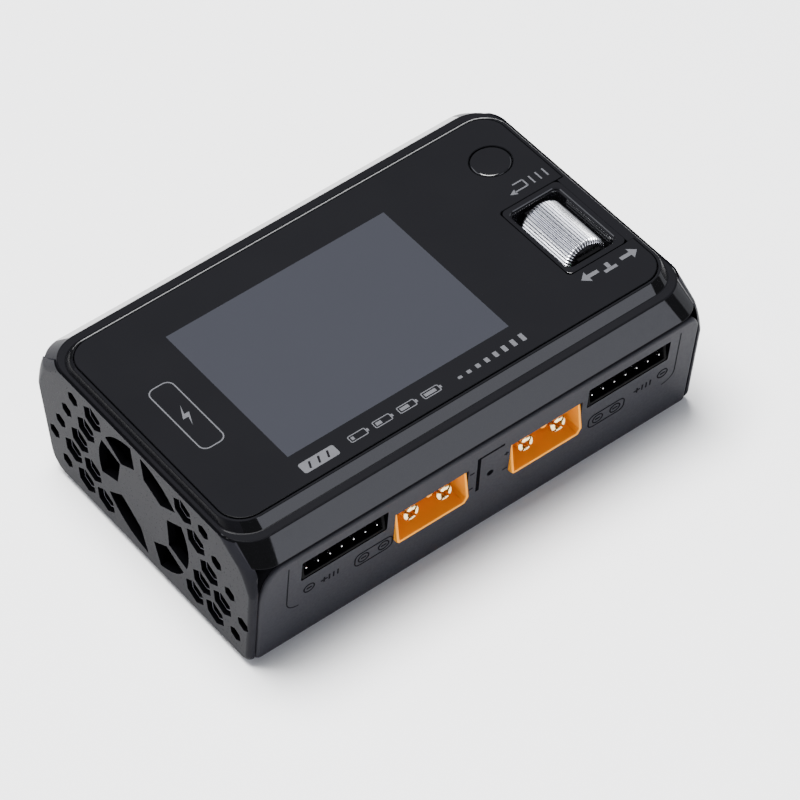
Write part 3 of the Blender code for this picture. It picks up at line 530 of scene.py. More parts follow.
def build_top_shell():
    """Rim, steep upper slope, narrow ledge and broad lower slope, all one glossy ring.

    Its rings go up the outside from the seam, over the rim, and down the inside.
    """
    seam = SEAM_Z + 0.2
    ledge = LEDGE_Z
    rings = [
        level(48.75, 33.65, 5.5, seam), level(48.93, 33.87, SEAM_CORNER, seam + 0.06),
        level(48.9, 33.83, SEAM_CORNER, seam + 0.2),
        level(LEDGE_HALF_X, 30.22, LEDGE_CORNER, ledge - 0.13),
        level(48.5, 30.06, LEDGE_CORNER - 0.1, ledge - 0.03),
        level(48.35, 29.85, LEDGE_CORNER - 0.3, ledge),
        level(47.85, 28.5, 6.0, ledge), level(47.8, 28.33, 6.0, ledge + 0.05),
        level(47.75, 28.2, 5.95, ledge + 0.18),
        level(47.49, 26.86, 5.6, FACE_Z - 0.29), level(47.42, 26.79, 5.55, FACE_Z - 0.2),
        level(47.34, 26.71, 5.48, FACE_Z - 0.14), level(46.93, 26.46, 5.1, FACE_Z - 0.14),
        level(46.86, 26.39, 5.04, FACE_Z - 0.15),
        level(46.84, 26.37, 5.03, FACE_Z - 0.17), level(46.8, 26.33, 5.0, FACE_Z - 0.24),
        level(46.8, 26.33, 5.0, FACE_Z - 1.5), level(44.3, 23.6, 2.5, FACE_Z - 1.5),
        level(44.3, 23.6, 2.5, FACE_Z - 2.8), level(45.5, 28.0, 3.0, FACE_Z - 2.8),
        level(45.5, 31.5, 3.0, seam),
    ]
    # At the rear the rim's outer edge falls away a little, which draws a thin bright line.
    for index, drop in ((9, 0.07), (10, 0.11), (11, 0.13)):
        rings[index] = [(x, y, z - drop * min(1.0, max(0.0, (y - 20.0) / 5.0)))
                        for x, y, z in rings[index]]
    shell = piece("glossy_top_shell", lofted(rings, True), ["gloss", "plate", "arris", "satin"],
                  stands_for=["top_shell"])
    for face in shell.data.polygons:
        place, tilt = face.center / MM, face.normal.z
        if tilt > 0.99:
            face.material_index = 1
        elif place.z > ledge + 1.0 and 0.79 < tilt and face.normal.y > 0.15:
            face.material_index = 0
        elif 0.79 < tilt or place.z < seam + 0.2 or (place.z > ledge and abs(face.normal.x) > 0.5):
            face.material_index = 2
        elif place.z < ledge - 0.15 and abs(place.x) > 43.3 and place.y > 0.0:
            face.material_index = 3
    section = inset(cap_section(), -0.03)
    for side in (-1, 1):
        carve(shell, lofted([along_x(section, side * 47.3), along_x(section, side * 52.0)]))
    clearance = 0.3
    bm = bmesh.new()
    for node in ("fan_frame", "roller_bezel"):
        low, high = corners(node)
        add_box(bm, (low.x - clearance, low.y - clearance, 20.0),
                (high.x + clearance, high.y + clearance, FACE_Z - 1.3))
    carve(shell, bm)
    bezel_low, bezel_high = corners("roller_bezel")
    bm = bmesh.new()
    for index in range(1, 5):
        x, y, _ = middle("case_screw_%d" % index)
        add_turned(bm, (x, y), ((13.7, 2.5), (FACE_Z - 2.4, 2.5)), 24)
    fuse(shell, bm)
    fuse(shell, boxed((bezel_high.x + 0.05, bezel_low.y + 0.02, FACE_Z - 2.0),
                      (46.95, bezel_high.y - 0.02, FACE_Z - 0.14)))
    darken(shell, lambda centre, normal: normal.z > 0.99 and centre.x > bezel_high.x, 1)
    shade(shell, 15.0)


def build_faceplate():
    """Gloss sheet over the display; the screen shows through as a grey rectangle."""
    low, high = corners("faceplate")
    half_x, half_y = high.x + 0.13, high.y + 0.13
    outline = rounded(half_x, half_y, 4.93, CORNER_STEPS)
    rings = [along_z(outline, low.z), along_z(outline, high.z - 0.14),
             along_z(inset(outline, 0.04), high.z - 0.04), along_z(inset(outline, 0.14), high.z)]
    plate = piece("faceplate_sheet", lofted(rings), ["plate", "screen", "arris"],
                  stands_for=["faceplate"])
    button = middle("exit_button")
    bezel_low, bezel_high, centre = extent("roller_bezel")
    bezel_outline = rounded((bezel_high.x - bezel_low.x) / 2 + 0.12, (bezel_high.y - bezel_low.y) / 2 + 0.12,
                            0.8, 6, (centre.x, centre.y))
    bm = bmesh.new()
    add_turned(bm, (button.x, button.y), ((low.z - 1, 4.05), (high.z - 0.12, 4.05),
                                          (high.z + 0.02, 4.18), (high.z + 1, 4.18)), 64)
    add_loft(bm, [along_z(bezel_outline, low.z - 1), along_z(bezel_outline, high.z - 0.1),
                  along_z(inset(bezel_outline, -0.1), high.z + 0.02),
                  along_z(inset(bezel_outline, -0.1), high.z + 1)])
    carve(plate, bm)
    carve(plate, boxed((centre.x, bezel_low.y - 0.12, low.z - 1),
                       (48.0, bezel_high.y + 0.12, high.z + 1)))
    window_low = Vector((-30.7, -19.1))
    window_high = Vector((16.7, 17.6))
    bm = bmesh.new()
    bm.from_mesh(plate.data)
    for axis in (0, 1):
        for edge in (window_low[axis], window_high[axis]):
            point, normal = Vector((0, 0, 0)), Vector((0, 0, 0))
            point[axis], normal[axis] = edge * MM, 1.0
            bmesh.ops.bisect_plane(bm, geom=bm.verts[:] + bm.edges[:] + bm.faces[:],
                                   plane_co=point, plane_no=normal, dist=1e-7)
    for face in bm.faces:
        place = face.calc_center_median() / MM
        inside = window_low.x < place.x < window_high.x and window_low.y < place.y < window_high.y
        if inside and face.normal.z > 0.5:
            face.material_index = 1
    bm.to_mesh(plate.data)
    bm.free()
    darken(plate, lambda place, normal: 0.1 < normal.z < 0.98, 2)
    shade(plate, 25.0)


# -------- printed marks

def add_flat(bm, outline, z=FACE_Z, height=0.02):
    """A thin filled shape lying on the faceplate."""
    add_prism(bm, along_z, outline, z, z + height)


def add_stroke(bm, outline, width, z=FACE_Z, height=0.02):
    """A closed outline drawn as a band of even width."""
    outer, inner = inset(outline, -width / 2), inset(outline, width / 2)
    add_loft(bm, [along_z(outer, z), along_z(outer, z + height),
                  along_z(inner, z + height), along_z(inner, z)], ring_closed=True)


def bar(start, end, width):
    """Outline of a straight bar between two points."""
    start, end = Vector(start), Vector(end)
    side = Vector((-(end - start).y, (end - start).x)).normalized() * width / 2
    return [tuple(start - side), tuple(end - side), tuple(end + side), tuple(start + side)]


def arrow(centre, length, direction):
    """Outline of a plain arrow pointing left (-1) or right (1), anticlockwise."""
    half, head, shaft = length / 2, 1.35, 0.42
    neck = half - 1.5
    shape = [(-half, -shaft), (neck, -shaft), (neck, -head), (half, 0.0),
             (neck, head), (neck, shaft), (-half, shaft)]
    if direction < 0:
        shape = [(-u, v) for u, v in reversed(shape)]
    return [(centre[0] + u, centre[1] + v) for u, v in shape]


def build_printed_marks():
    """Plain symbols only: arrows, press and return marks, battery cells, bars and a badge."""
    bm = bmesh.new()
    add_flat(bm, arrow((35.0, -18.6), 3.7, -1))
    add_flat(bm, arrow((43.5, -18.9), 3.7, 1))
    add_flat(bm, bar((37.6, -19.6), (40.3, -19.6), 0.7))
    add_flat(bm, bar((39.0, -19.2), (39.0, -17.9), 0.8))
    turn = [(38.4, 8.1), (40.6, 8.1), (40.6, 6.3), (37.7, 6.3)]
    for start, end in zip(turn, turn[1:]):
        add_flat(bm, bar(start, end, 0.3))
    add_flat(bm, [(36.6, 6.3), (37.9, 5.6), (37.9, 7.0)])
    for x in (42.0, 43.5, 45.0):
        add_flat(bm, bar((x, 6.0), (x, 8.1), 0.3))
    add_stroke(bm, rounded(2.45, 8.75, 1.5, 6, (-38.5, 0.0)), 0.24)
    bolt = [(-38.9, -2.6), (-37.6, 0.45), (-38.6, 0.45), (-38.0, 2.6), (-39.5, -0.5), (-38.4, -0.5)]
    add_flat(bm, bolt)
    add_flat(bm, rounded(3.7, 1.3, 0.5, 4, (-26.9, -22.95)))
    for cell in range(4):
        centre_x = -18.6 + cell * 5.2
        add_stroke(bm, rounded(1.75, 0.75, 0.25, 3, (centre_x, -22.8)), 0.2)
        add_flat(bm, rounded(0.18, 0.34, 0.08, 2, (centre_x + 2.05, -22.8)))
        add_flat(bm, rounded(0.3 + 0.3 * cell, 0.38, 0.08, 2, (centre_x - 1.07 + 0.3 * cell, -22.8)))
    for cell in range(8):
        height = 0.3 + 0.09 * cell
        add_flat(bm, rounded(0.42, height, 0.1, 2, (2.9 + 2.0 * cell, -23.6 + height)))
    shade(piece("printed_marks", bm, ["ink"]))
    bm = bmesh.new()
    for cell in range(3):
        add_flat(bm, bar((-29.1 + 1.9 * cell, -23.7), (-28.5 + 1.9 * cell, -22.2), 0.4), FACE_Z + 0.02, 0.01)
    shade(piece("badge_bars", bm, ["plate"]))


# -------- case, end caps, ports

PANEL_LIFT = 0.6             # the port panels stand this far out from the tub


def port_outline(node, grow):
    """Power connector section in X and Z, anticlockwise: lower corners are cut."""
    low, high = corners(node)
    left, right = low.x - grow, high.x + grow
    under, top = low.z - grow, high.z + grow
    return [(left + 0.4, under), (right - 1.0, under), (right, under + 1.1),
            (right, top), (left, top), (left, under + 0.4)]


def box_outline(node, grow, radius=0.3, steps=3):
    """Section of a node in X and Z with round corners, grown all round."""
    low, high, centre = extent(node)
    return rounded((high.x - low.x) / 2 + grow, (high.z - low.z) / 2 + grow, radius, steps,
                   (centre.x, centre.z))


def cut_windows(made, front):
    """Openings for the sockets of the front or the rear wall."""
    bm = bmesh.new()
    if front:
        y_from, y_to = -40.0, -24.0
        outlines = [port_outline("output_housing_left", 0.12), port_outline("output_housing_right", 0.12)]
        outlines += [box_outline("balance_header_" + side, 0.2) for side in ("left", "right")]
        sounder = middle("sounder")
        outlines.append(arc((sounder.x, sounder.z), 0.75, 0, 345, 23))
    else:
        y_from, y_to = 28.0, 40.0
        outlines = [port_outline("input_housing", 0.12), box_outline("usb_shell", 0.1, 1.7)]
    for outline in outlines:
        add_prism(bm, along_y, outline, y_from, y_to)
    carve(made, bm)


def build_tub():
    """Lower case: a floor and two walls, with countersinks and foot pockets below."""
    half_x = HALF_X - 1.55
    top = SEAM_Z
    wall = 1.5
    outer = [(front_y(top) + PANEL_LIFT, top)]
    outer += arc((front_y(CASE_Z) + PANEL_LIFT + 0.9, CASE_Z + 0.9), 0.9, 190, 270, 5)
    outer += arc((HALF_Y - PANEL_LIFT - 4.6, CASE_Z + 4.6), 4.6, 270, 360, 12)
    outer.append((HALF_Y - PANEL_LIFT, top))
    inner = [(front_y(top) + PANEL_LIFT + wall, top)]
    inner += arc((front_y(CASE_Z) + PANEL_LIFT + 2.0, CASE_Z + 1.8), 0.5, 190, 270, 5)
    inner += arc((HALF_Y - PANEL_LIFT - 4.6, CASE_Z + 4.3), 3.1, 270, 360, 12)
    inner.append((HALF_Y - PANEL_LIFT - wall, top))
    section = outer + inner[::-1]
    tub = piece("lower_case_tub", lofted([along_x(section, -half_x), along_x(section, half_x)]),
                ["matte", "groove"], stands_for=["lower_case"])
    bm = bmesh.new()
    for index in range(1, 5):
        x, y, _ = middle("case_screw_%d" % index)
        add_turned(bm, (x, y), ((CASE_Z - 1, 2.5), (CASE_Z + 0.6, 2.35), (CASE_Z + 1.8, 1.3),
                                (CASE_Z + 9, 1.3)), 32)
        x, y, _ = middle("rubber_foot_%d" % index)
        add_turned(bm, (x, y), ((CASE_Z - 1, 4.15), (CASE_Z + 0.7, 4.15)), 40)
    label = rounded(26.0, 14.0, 1.5, 5, (0.0, 1.0))
    add_prism(bm, along_z, label, CASE_Z - 1, CASE_Z + 0.15)
    for index in range(7):
        slot_outline = rounded(0.6, 5.0, 0.59, 5, (-9.0 + 3.0 * index, -20.5))
        add_prism(bm, along_z, slot_outline, CASE_Z - 1, CASE_Z + 0.6)
    carve(tub, bm)
    cut_windows(tub, True)
    cut_windows(tub, False)
    combine(tub, hull_form(-0.75), "INTERSECT")
    soften(tub, 0.12, 2, 50.0)
    # Painted shade: every tub face above the floor gets the near black groove material, for the gaps beside
    # the panels and caps.
    darken(tub, lambda centre, normal: centre.z > CASE_Z + 1.0)
    shade(tub)


def build_port_panel(name, front):
    """Raised panel with the sockets' windows; its two upper corners are broadly rounded.

    The rear one ends above the tub's round lower edge.
    """
    low_z, high_z = (CASE_Z if front else CASE_Z + 3.0), SEAM_Z - 0.6
    half_x, foot = HALF_X - 1.7, 1.0
    corner = arc((0.0, 0.0), 1.0, 0, 90, 14)
    outline = []
    for side, corner_x, corner_z in ((1, 2.6, 4.4), (-1, 4.6, 9.0)):
        turn = [(side * (half_x - corner_x + u * corner_x), high_z - corner_z + v * corner_z)
                for u, v in corner]
        outline += turn if side > 0 else turn[::-1]
    outline += arc((-half_x + foot, low_z + foot), foot, 180, 270, 5)
    outline += arc((half_x - foot, low_z + foot), foot, 270, 360, 5)
    if front:
        surface, outwards = front_y, -1.0
    else:
        surface, outwards = rear_y, 1.0
    rings = []
    edge = ((1.0, 0.0), (0.7, 0.03), (0.42, 0.1), (0.2, 0.23), (0.05, 0.42), (0.0, 0.62),
            (0.0, PANEL_LIFT + 0.3))
    for side_in, depth in edge:
        ring = inset(outline, side_in)
        tighter = 0.35 + 0.6 * side_in
        rings.append([(x + tighter if x > 0 else x, surface(z) - outwards * depth, z) for x, z in ring])
    panel = piece(name, lofted(rings), ["matte", "groove"])
    cut_windows(panel, front)
    soften(panel, 0.1, 2, 50.0)
    # Painted shade: the side walls of the balance headers' windows get the near black groove material.
    headers = [corners("balance_header_" + side) for side in ("left", "right")]
    darken(panel, lambda centre, normal: abs(normal.y) < 0.6 and any(
        low.x - 0.3 < centre.x < high.x + 0.3 and low.z - 0.3 < centre.z < high.z + 0.3
        for low, high in headers))
    shade(panel)


def on_panel(outline, lift):
    """Lay an outline of (x, z) points on the front panel's leaning face."""
    return [(x, front_y(z) - lift, z) for x, z in outline]


def add_panel_stroke(bm, outline, width, lift=0.06):
    outer, inner = inset(outline, -width / 2), inset(outline, width / 2)
    add_loft(bm, [on_panel(outer, -0.05), on_panel(outer, lift),
                  on_panel(inner, lift), on_panel(inner, -0.05)], ring_closed=True)


def add_panel_shape(bm, outline, lift=0.06):
    add_loft(bm, [on_panel(outline, -0.05), on_panel(outline, lift)])


def build_panel_marks():
    """Moulded guides by the sockets: rings, lozenges, plus and minus signs, short bars and lines."""
    bm = bmesh.new()
    for x, z in ((-36.8, 15.3), (-25.2, 14.4), (-20.9, 14.4), (26.2, 13.4), (30.1, 13.4), (40.6, 15.4)):
        add_panel_stroke(bm, arc((x, z), 1.1, 0, 345, 23), 0.26)
        add_panel_shape(bm, bar((x - 0.55, z), (x + 0.55, z), 0.3))
    for x, z in ((-23.05, 14.4), (28.15, 13.4)):
        add_panel_stroke(bm, rounded(4.0, 1.8, 1.2, 5, (x, z)), 0.24)
    for x, z, gap in ((-33.6, 15.0, 1.1), (34.9, 14.8, 1.2)):
        add_panel_shape(bm, bar((x - 0.7, z), (x + 0.7, z), 0.3))
        add_panel_shape(bm, bar((x, z - 0.7), (x, z + 0.7), 0.3), 0.07)
        for step in range(3):
            along = x + gap + 0.9 * step
            add_panel_shape(bm, bar((along, z - 0.75), (along, z + 0.75), 0.3))
    sounder = middle("sounder")
    for sign, x in ((-1, sounder.x - 4.2), (1, sounder.x + 3.3)):
        for z in (sounder.z + 3.2, sounder.z - 1.6):
            add_panel_shape(bm, bar((x - 0.5, z), (x + 0.5, z), 0.24), 0.05)
        if sign > 0:
            add_panel_shape(bm, bar((x, sounder.z + 2.7), (x, sounder.z + 3.7), 0.22))
    # The moulded marks get the darker mark material, painted shade for their relief.
    shade(piece("moulded_marks", bm, ["mark"]))
    # Painted shade: two grooves are drawn as dark strips barely raised on the panel, in the near black
    # groove material.
    bm = bmesh.new()
    add_panel_shape(bm, bar((sounder.x - 2.6, 13.6), (sounder.x - 2.9, 24.0), 0.75), 0.012)
    add_panel_shape(bm, bar((sounder.x - 2.9, 23.8), (sounder.x + 2.6, 23.8), 0.6), 0.012)
    shade(piece("panel_groove_painted_shade", bm, ["groove"]))
    bm = bmesh.new()
    for side, x in ((-1, -41.5), (1, 43.5)):
        start_deg, end_deg = (0, -90) if side > 0 else (180, 270)
        bend = [(x, 25.4)] + arc((x - side * 2.6, 14.2), 2.6, start_deg, end_deg, 6)
        for start, end in zip(bend, bend[1:]):
            add_panel_shape(bm, bar(start, end, 0.22), 0.03)
    # The guide lines get the same darker mark material, painted shade for their relief.
    shade(piece("panel_guide_lines", bm, ["mark"]))


VENT_PITCH = 6.14
GRILLE_RADIUS = 13.65
HUB_RADIUS = 8.2
BEAD_DEPTH = 0.75            # a bead inside each vent's mouth, this far in


def grille_openings(centre):
    """Six openings round the hub; the struts between them alternate thin and broad."""
    struts = ((37, 43, 5, 2), (90, 91, 6, 10), (151, 149, 6, 10), (212, 216, 5, 5), (266, 272, 8, 14),
              (340, 344, 9, 10))
    for (angle, root, half, root_half), after in zip(struts, struts[1:] + struts[:1]):
        wrap = 360 if after[0] < angle else 0
        start, end = angle + half, after[0] - after[2] + wrap
        root_start, root_end = root + root_half, after[1] - after[3] + wrap
        shape = arc((centre.y, centre.z), GRILLE_RADIUS, start, end, 8)
        shape += arc((centre.y, centre.z), HUB_RADIUS, root_end, root_start, 1)
        yield shape


def vent_places(centre):
    """Honeycomb vents either side of the grille, the outermost of each row smaller."""
    columns = {2: (2.25,), 1: (2.75,), 0: (3.25,), -1: (2.75, 3.75), -2: (2.25, 3.25)}
    for row, offsets in columns.items():
        z = centre.z + row * VENT_PITCH * math.sqrt(3) / 2
        for sign in (-1, 1):
            for offset in offsets:
                yield centre.y + sign * offset * VENT_PITCH, z, 2.85
            yield centre.y + sign * (offsets[-1] + 1) * VENT_PITCH, z, 1.62


def build_end_cap(name, node, side):
    """Vented end plate: a rounded rim, a rebate behind it, and broad facets at its top corners."""
    rim = 1.2
    section = cap_section(lid=3.0)
    rebate = 0.85 if side < 0 else 0.3
    steps = [(1.6, rebate), (1.3, rebate), (1.26, 0.08)]
    for degrees in (0, 15, 30, 45, 60, 75, 90):
        angle = math.radians(degrees)
        steps.append((rim * (1.0 - math.sin(angle)), rim * (1.0 - math.cos(angle))))
    rings = [along_x(inset(section, step_in), side * (HALF_X - depth)) for depth, step_in in steps]
    cap = piece(name, lofted(rings), ["satin", "groove", "edge"], stands_for=[node])
    combine(cap, hull_form(0.01), "INTERSECT")
    bm = bmesh.new()
    for end in (-1, 1):
        beyond = [(end * SHOULDER[0], SHOULDER[1]), (end * SHOULDER_FOOT[0], SHOULDER_FOOT[1]),
                  (end * 37.0, 28.5), (end * 37.0, 37.0), (end * (SHOULDER[0] - 7.0), 37.0)]
        add_prism(bm, along_x, beyond, side * 44.0, side * 52.0)
    carve(cap, bm)
    centre = middle("fan_frame")
    centre.z -= 0.06
    back, outer = side * (HALF_X - 4.0), side * (HALF_X + 2.0)
    step, bead = side * (HALF_X - 1.1), side * (HALF_X - BEAD_DEPTH)
    bm = bmesh.new()
    for outline in grille_openings(centre):
        add_prism(bm, along_x, outline, back, outer)
    for y, z, radius in vent_places(centre):
        wide, middle_ring, narrow = (arc((y, z), radius - cut, 90, 390, 5) for cut in (0.0, 0.6, 0.95))
        if radius < 2.0:
            add_prism(bm, along_x, wide, back, outer)
        else:
            add_loft(bm, [along_x(narrow, back), along_x(narrow, bead), along_x(middle_ring, bead),
                          along_x(middle_ring, step), along_x(wide, step), along_x(wide, outer)])
    carve(cap, bm)
    soften(cap, 0.16, 2, 40.0)

    rounds = [*vent_places(centre), (centre.y, centre.z, 14.6)]

    def in_openings(place):
        return any(math.hypot(place.y - y, place.z - z) < radius + 0.5 for y, z, radius in rounds)

    def on_bead(place, normal):
        return abs(normal.x) > 0.5 and abs(abs(place.x) - HALF_X + BEAD_DEPTH) < 0.12

    # Painted shade: the inside of the grille and vent openings gets the near black groove material.
    darken(cap, lambda place, normal: in_openings(place) and abs(place.x) < HALF_X - 0.3
           and not on_bead(place, normal))
    # Painted highlight: the bead inside each vent and the rounded rims of the openings get the light grey
    # edge material.
    darken(cap, lambda place, normal: in_openings(place) and on_bead(place, normal), 2)
    darken(cap, lambda place, normal: in_openings(place) and abs(place.x) > HALF_X - 0.3
           and abs(normal.x) < 0.97, 2)
    shade(cap, 40.0)


def build_power_socket(name, node, contacts, outwards):
    """Amber housing with a tapering cavity, a key rib and two split contacts."""
    low, high = corners(node)
    mouth = low.y if outwards < 0 else high.y
    outline = port_outline(node, 0.0)
    inner = inset(outline, 0.62)
    steps = ((outline, 14.5, 0.0), (outline, 0.25, 0.0), (outline, 0.07, 0.07), (outline, 0.0, 0.2),
             (inner, 0.0, -0.2), (inner, 0.07, -0.07), (inner, 0.25, 0.0), (inner, 9.0, 0.55))
    rings = [along_y(inset(shape, step_in), mouth - outwards * depth) for shape, depth, step_in in steps]
    housing = piece(name, lofted(rings), ["amber"], stands_for=[node])
    rib = arc(((low.x + high.x) / 2, high.z - 1.15), 0.75, 180, 360, 8)
    fuse(housing, lofted([along_y(rib, mouth - outwards * 0.5), along_y(rib, mouth - outwards * 8.0)]))
    soften(housing, 0.1, 2, 50.0)
    shade(housing, 30.0)
    for contact in contacts:
        build_contact(contact, outwards)


def build_contact(node, outwards):
    """Round contact: rounded tip, bored, and split in four by crossed slots."""
    low, high, centre = extent(node)
    tip = low.y if outwards < 0 else high.y
    inwards = -outwards
    profile = ((16.0, 1.7), (0.55, 1.75), (0.25, 1.68), (0.07, 1.5), (0.0, 1.25), (0.0, 0.95),
               (0.12, 0.8), (5.0, 0.8))
    bm = bmesh.new()
    add_turned(bm, centre, [(tip + inwards * depth, radius) for depth, radius in profile], 40, "Y")
    contact = piece(node + "_split", bm, ["gold"], stands_for=[node])
    for turn in (45, 135):
        bm = bmesh.new()
        verts = add_box(bm, (-2.2, -0.5, -0.24), (2.2, 6.5, 0.24))
        if outwards > 0:
            bmesh.ops.transform(bm, matrix=Matrix.Rotation(math.pi, 4, "X"), verts=verts)
        place = Matrix.Translation((centre.x, tip, centre.z)) @ Matrix.Rotation(math.radians(turn), 4, "Y")
        bmesh.ops.transform(bm, matrix=place, verts=verts)
        carve(contact, bm)
    soften(contact, 0.06, 2, 50.0)
    shade(contact, 35.0)


def build_balance_header(side):
    """Shrouded header and its row of square pointed pins."""
    node = "balance_header_" + side
    low, high = corners(node)
    outline, inner = box_outline(node, 0.0, 0.25), box_outline(node, -0.65, 0.2)
    rings = [along_y(outline, high.y), along_y(outline, low.y + 0.1),
             along_y(inset(outline, 0.08), low.y), along_y(inset(inner, -0.08), low.y),
             along_y(inner, low.y + 0.1), along_y(inner, high.y - 1.6)]
    shade(piece(node + "_shroud", lofted(rings), ["inner"], stands_for=[node]))
    node = "balance_pins_" + side
    low, high = corners(node)
    z = (low.z + high.z) / 2
    bm = bmesh.new()
    half = 0.32
    for index in range(7):
        x = low.x + half + index * (high.x - low.x - 2 * half) / 6
        rings = []
        for y, size in ((low.y, 0.1), (low.y + 0.45, half), (high.y - 0.5, half)):
            rings.append([(x + u * size, y, z + v * size) for u, v in ((1, 1), (-1, 1), (-1, -1), (1, -1))])
        add_loft(bm, rings)
    row = rounded((high.x - low.x) / 2, 0.5, 0.1, 2, ((low.x + high.x) / 2, z))
    add_prism(bm, along_y, row, high.y - 1.0, high.y)
    shade(piece(node + "_row", bm, ["tin"], stands_for=[node]))


def build_usb():
    """Oval steel shell with its contact tongue."""
    low, high = corners("usb_shell")
    outline = box_outline("usb_shell", 0.0, 1.6, 8)
    inner = inset(outline, 0.3)
    rings = [along_y(outline, low.y), along_y(outline, high.y - 0.08),
             along_y(inset(outline, 0.08), high.y), along_y(inset(inner, -0.08), high.y),
             along_y(inner, high.y - 0.1), along_y(inner, low.y + 1.2)]
    shade(piece("usb_oval_shell", lofted(rings), ["tin"], stands_for=["usb_shell"]))
    low, high = corners("usb_tongue")
    tongue = box_outline("usb_tongue", 0.0, 0.3, 4)
    rings = [along_y(tongue, low.y), along_y(tongue, high.y - 0.2), along_y(inset(tongue, 0.15), high.y)]
    shade(piece("usb_contact_tongue", lofted(rings), ["inner"],
                stands_for=["usb_tongue"]))


# -------- controls

def build_roller_bezel():
    """Window frame: flush top, a fine step, and glossy walls down into the pocket."""
    low, high, centre = extent("roller_bezel")
    half_x, half_y = (high.x - low.x) / 2 - 0.02, (high.y - low.y) / 2 - 0.02
    outer = rounded(half_x, half_y, 1.2, 8, (centre.x, centre.y))
    window_centre = (38.75, -6.05)
    window = rounded(5.15, 8.45, 0.9, 8, window_centre)
    lip = inset(window, -0.5)
    top = high.z
    rings = [along_z(outer, low.z), along_z(outer, top - 0.12), along_z(inset(outer, 0.04), top - 0.03),
             along_z(inset(outer, 0.14), top), along_z(inset(lip, -0.02), top),
             along_z(inset(lip, 0.14), top - 0.16), along_z(inset(lip, 0.14), top - 0.42),
             along_z(inset(window, -0.15), top - 0.42), along_z(window, top - 0.6),
             along_z(window, 27.2), along_z(inset(window, -0.5), 27.2),
             along_z(inset(window, -0.5), low.z)]
    shade(piece("roller_window_frame", lofted(rings, True), ["plate"],
                stands_for=["roller_bezel"]), 40.0)


def build_roller():
    """Knurled wheel with rounded ridges and chamfered ends."""
    low, high, centre = extent("roller")
    radius = (high.z - low.z) / 2
    ridges, points_per_ridge = 44, 6
    steps = ((0.0, 0.95, 1.0), (0.15, 0.55, 1.0), (0.45, 0.2, 1.0), (0.95, 0.0, 1.0))
    stations = [(low.y + a, b, c) for a, b, c in steps] + [(high.y - a, b, c) for a, b, c in reversed(steps)]
    rings = []
    for y, drop, depth in stations:
        ring = []
        for i in range(ridges * points_per_ridge):
            phase = 2.0 * math.pi * i / points_per_ridge
            groove = 0.5 - 0.5 * math.cos(phase)
            distance = radius - drop - 0.28 * depth * groove
            angle = 2.0 * math.pi * i / (ridges * points_per_ridge)
            ring.append((centre.x + distance * math.sin(angle), y, centre.z + distance * math.cos(angle)))
        rings.append(ring)
    roller = piece("knurled_roller", lofted(rings), ["roller", "knurl"], "roller",
                   ["roller"])
    for index, face in enumerate(roller.data.polygons):
        in_groove = index % points_per_ridge in (2, 3)
        if in_groove and len(face.vertices) == 4:
            face.material_index = 1
    bm = bmesh.new()
    for y in (low.y, high.y):
        add_turned(bm, centre, ((y - 0.4, 2.1), (y + 0.4, 2.1)), 48, "Y")
    add_turned(bm, centre, ((low.y + 0.6, 1.25), (high.y - 0.6, 1.25)), 32, "Y")
    carve(roller, bm)
    shade(roller, 50.0)


def build_button():
    """Dished glossy cap with a soft rim, over its guide flange."""
    centre, top = middle("exit_button"), corners("exit_button")[1].z
    profile = [(31.3, 1.5), (31.7, 1.5), (31.7, 4.45), (32.5, 4.45), (32.5, 3.85), (top - 0.42, 3.85)]
    profile += [(top - 0.42 + 0.4 * math.sin(a), 3.45 + 0.4 * math.cos(a))
                for a in (math.radians(d) for d in (20, 45, 70, 90))]
    for share in range(1, 9):
        radius = 3.4 * (1.0 - share / 8.0)
        profile.append((top - 0.02 - 0.2 * (1.0 - (radius / 3.4) ** 2), radius))
    bm = bmesh.new()
    add_turned(bm, (centre.x, centre.y), profile, 64)
    shade(piece("exit_button_cap", bm, ["plate"], "exit_button", ["exit_button"]), 40.0)


# -------- fan, screws, feet, inside

def build_fan_rotor():
    """Seven swept blades, each a lofted lens section, round a stepped hub."""
    start, end = corners("fan_rotor")[0].x, corners("fan_frame")[1].x - 1.5
    centre = middle("fan_frame")
    bm = bmesh.new()
    add_turned(bm, centre, ((end, 6.3), (start + 0.5, 6.4), (start + 0.15, 6.2), (start, 5.7),
                            (start, 4.2), (start + 0.25, 4.0)), 48, "X")
    middle_x = (start + end) / 2
    blades = 7
    for blade in range(blades):
        rings = []
        for step in range(6):
            share = step / 5.0
            radius = 5.9 + 7.2 * share
            sweep = 0.22 * share * share
            pitch = math.radians(52.0 - 22.0 * share)
            chord = 2.5 + 0.5 * share
            ring = []
            for u, v in ((-1, 0), (-0.5, -0.16), (0.3, -0.18), (1, 0), (0.4, 0.05), (-0.4, 0.06)):
                x = middle_x + chord * u * math.cos(pitch) - v * 2.0 * math.sin(pitch)
                around = (chord * u * math.sin(pitch) + v * 2.0 * math.cos(pitch)) / radius
                angle = 2.0 * math.pi * blade / blades + sweep + around
                ring.append((x, centre.y + radius * math.cos(angle), centre.z + radius * math.sin(angle)))
            rings.append(ring)
        add_loft(bm, rings)
    shade(piece("fan_impeller", bm, ["inner"], "fan_rotor", ["fan_rotor"]), 40.0)


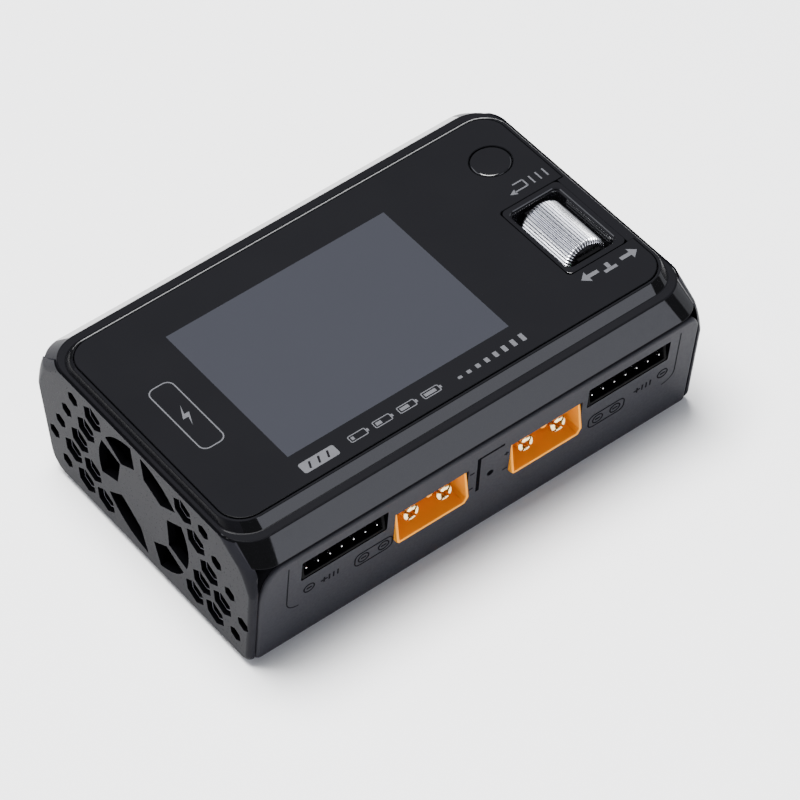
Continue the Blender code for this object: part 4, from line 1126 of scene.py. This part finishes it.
def build_screws_and_feet():
    """Countersunk cross-head screws and soft-edged feet."""
    for index in range(1, 5):
        node = "case_screw_%d" % index
        low, high, centre = extent(node)
        bm = bmesh.new()
        add_turned(bm, (centre.x, centre.y), ((low.z, 2.0), (low.z + 0.12, 2.2), (low.z + 0.5, 2.2),
                                              (low.z + 1.6, 1.1), (high.z, 1.05)), 32)
        screw = piece(node + "_head", bm, ["steel"], stands_for=[node])
        for half_x, half_y in ((1.35, 0.28), (0.28, 1.35)):
            carve(screw, boxed((centre.x - half_x, centre.y - half_y, low.z - 1),
                               (centre.x + half_x, centre.y + half_y, low.z + 0.7)))
        shade(screw)
        node = "rubber_foot_%d" % index
        low, high, centre = extent(node)
        bm = bmesh.new()
        add_turned(bm, (centre.x, centre.y), ((low.z, 3.3), (low.z + 0.06, 3.65), (low.z + 0.25, 3.92),
                                              (low.z + 0.5, 4.0), (high.z, 4.0)), 48)
        shade(piece(node + "_pad", bm, ["rubber"], stands_for=[node]), 45.0)


def dress_inside():
    """Give the CAD pieces that stay their finished materials."""
    looks = {"board": ["main_board", "control_board"],
             "screen": ["lcd_panel"],
             "gold": ["board_spacer_%d" % i for i in range(1, 5)],
             "aluminium": ["heatsink"] + ["capacitor_%d" % i for i in range(1, 5)],
             "steel": ["roller_axle"]}
    dressed = {name: look for look, names in looks.items() for name in names}
    for name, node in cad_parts.items():
        node.data.materials.clear()
        node.data.materials.append(PALETTE[dressed.get(name, "inner")])


def main():
    place_camera()
    build_palette()
    light_studio()
    dress_inside()
    build_top_shell()
    build_faceplate()
    build_printed_marks()
    build_tub()
    build_port_panel("front_port_panel", True)
    build_port_panel("rear_port_panel", False)
    build_panel_marks()
    build_end_cap("fan_end_grille", "fan_end_cap", -1)
    build_end_cap("vent_end_grille", "vent_end_cap", 1)
    for side in ("left", "right"):
        contacts = ["output_contact_%s_%d" % (side, index) for index in (1, 2)]
        build_power_socket("output_socket_" + side, "output_housing_" + side, contacts, -1)
        build_balance_header(side)
    build_power_socket("input_socket", "input_housing", ["input_contact_1", "input_contact_2"], 1)
    build_usb()
    build_roller_bezel()
    build_roller()
    build_button()
    build_fan_rotor()
    build_screws_and_feet()


main()
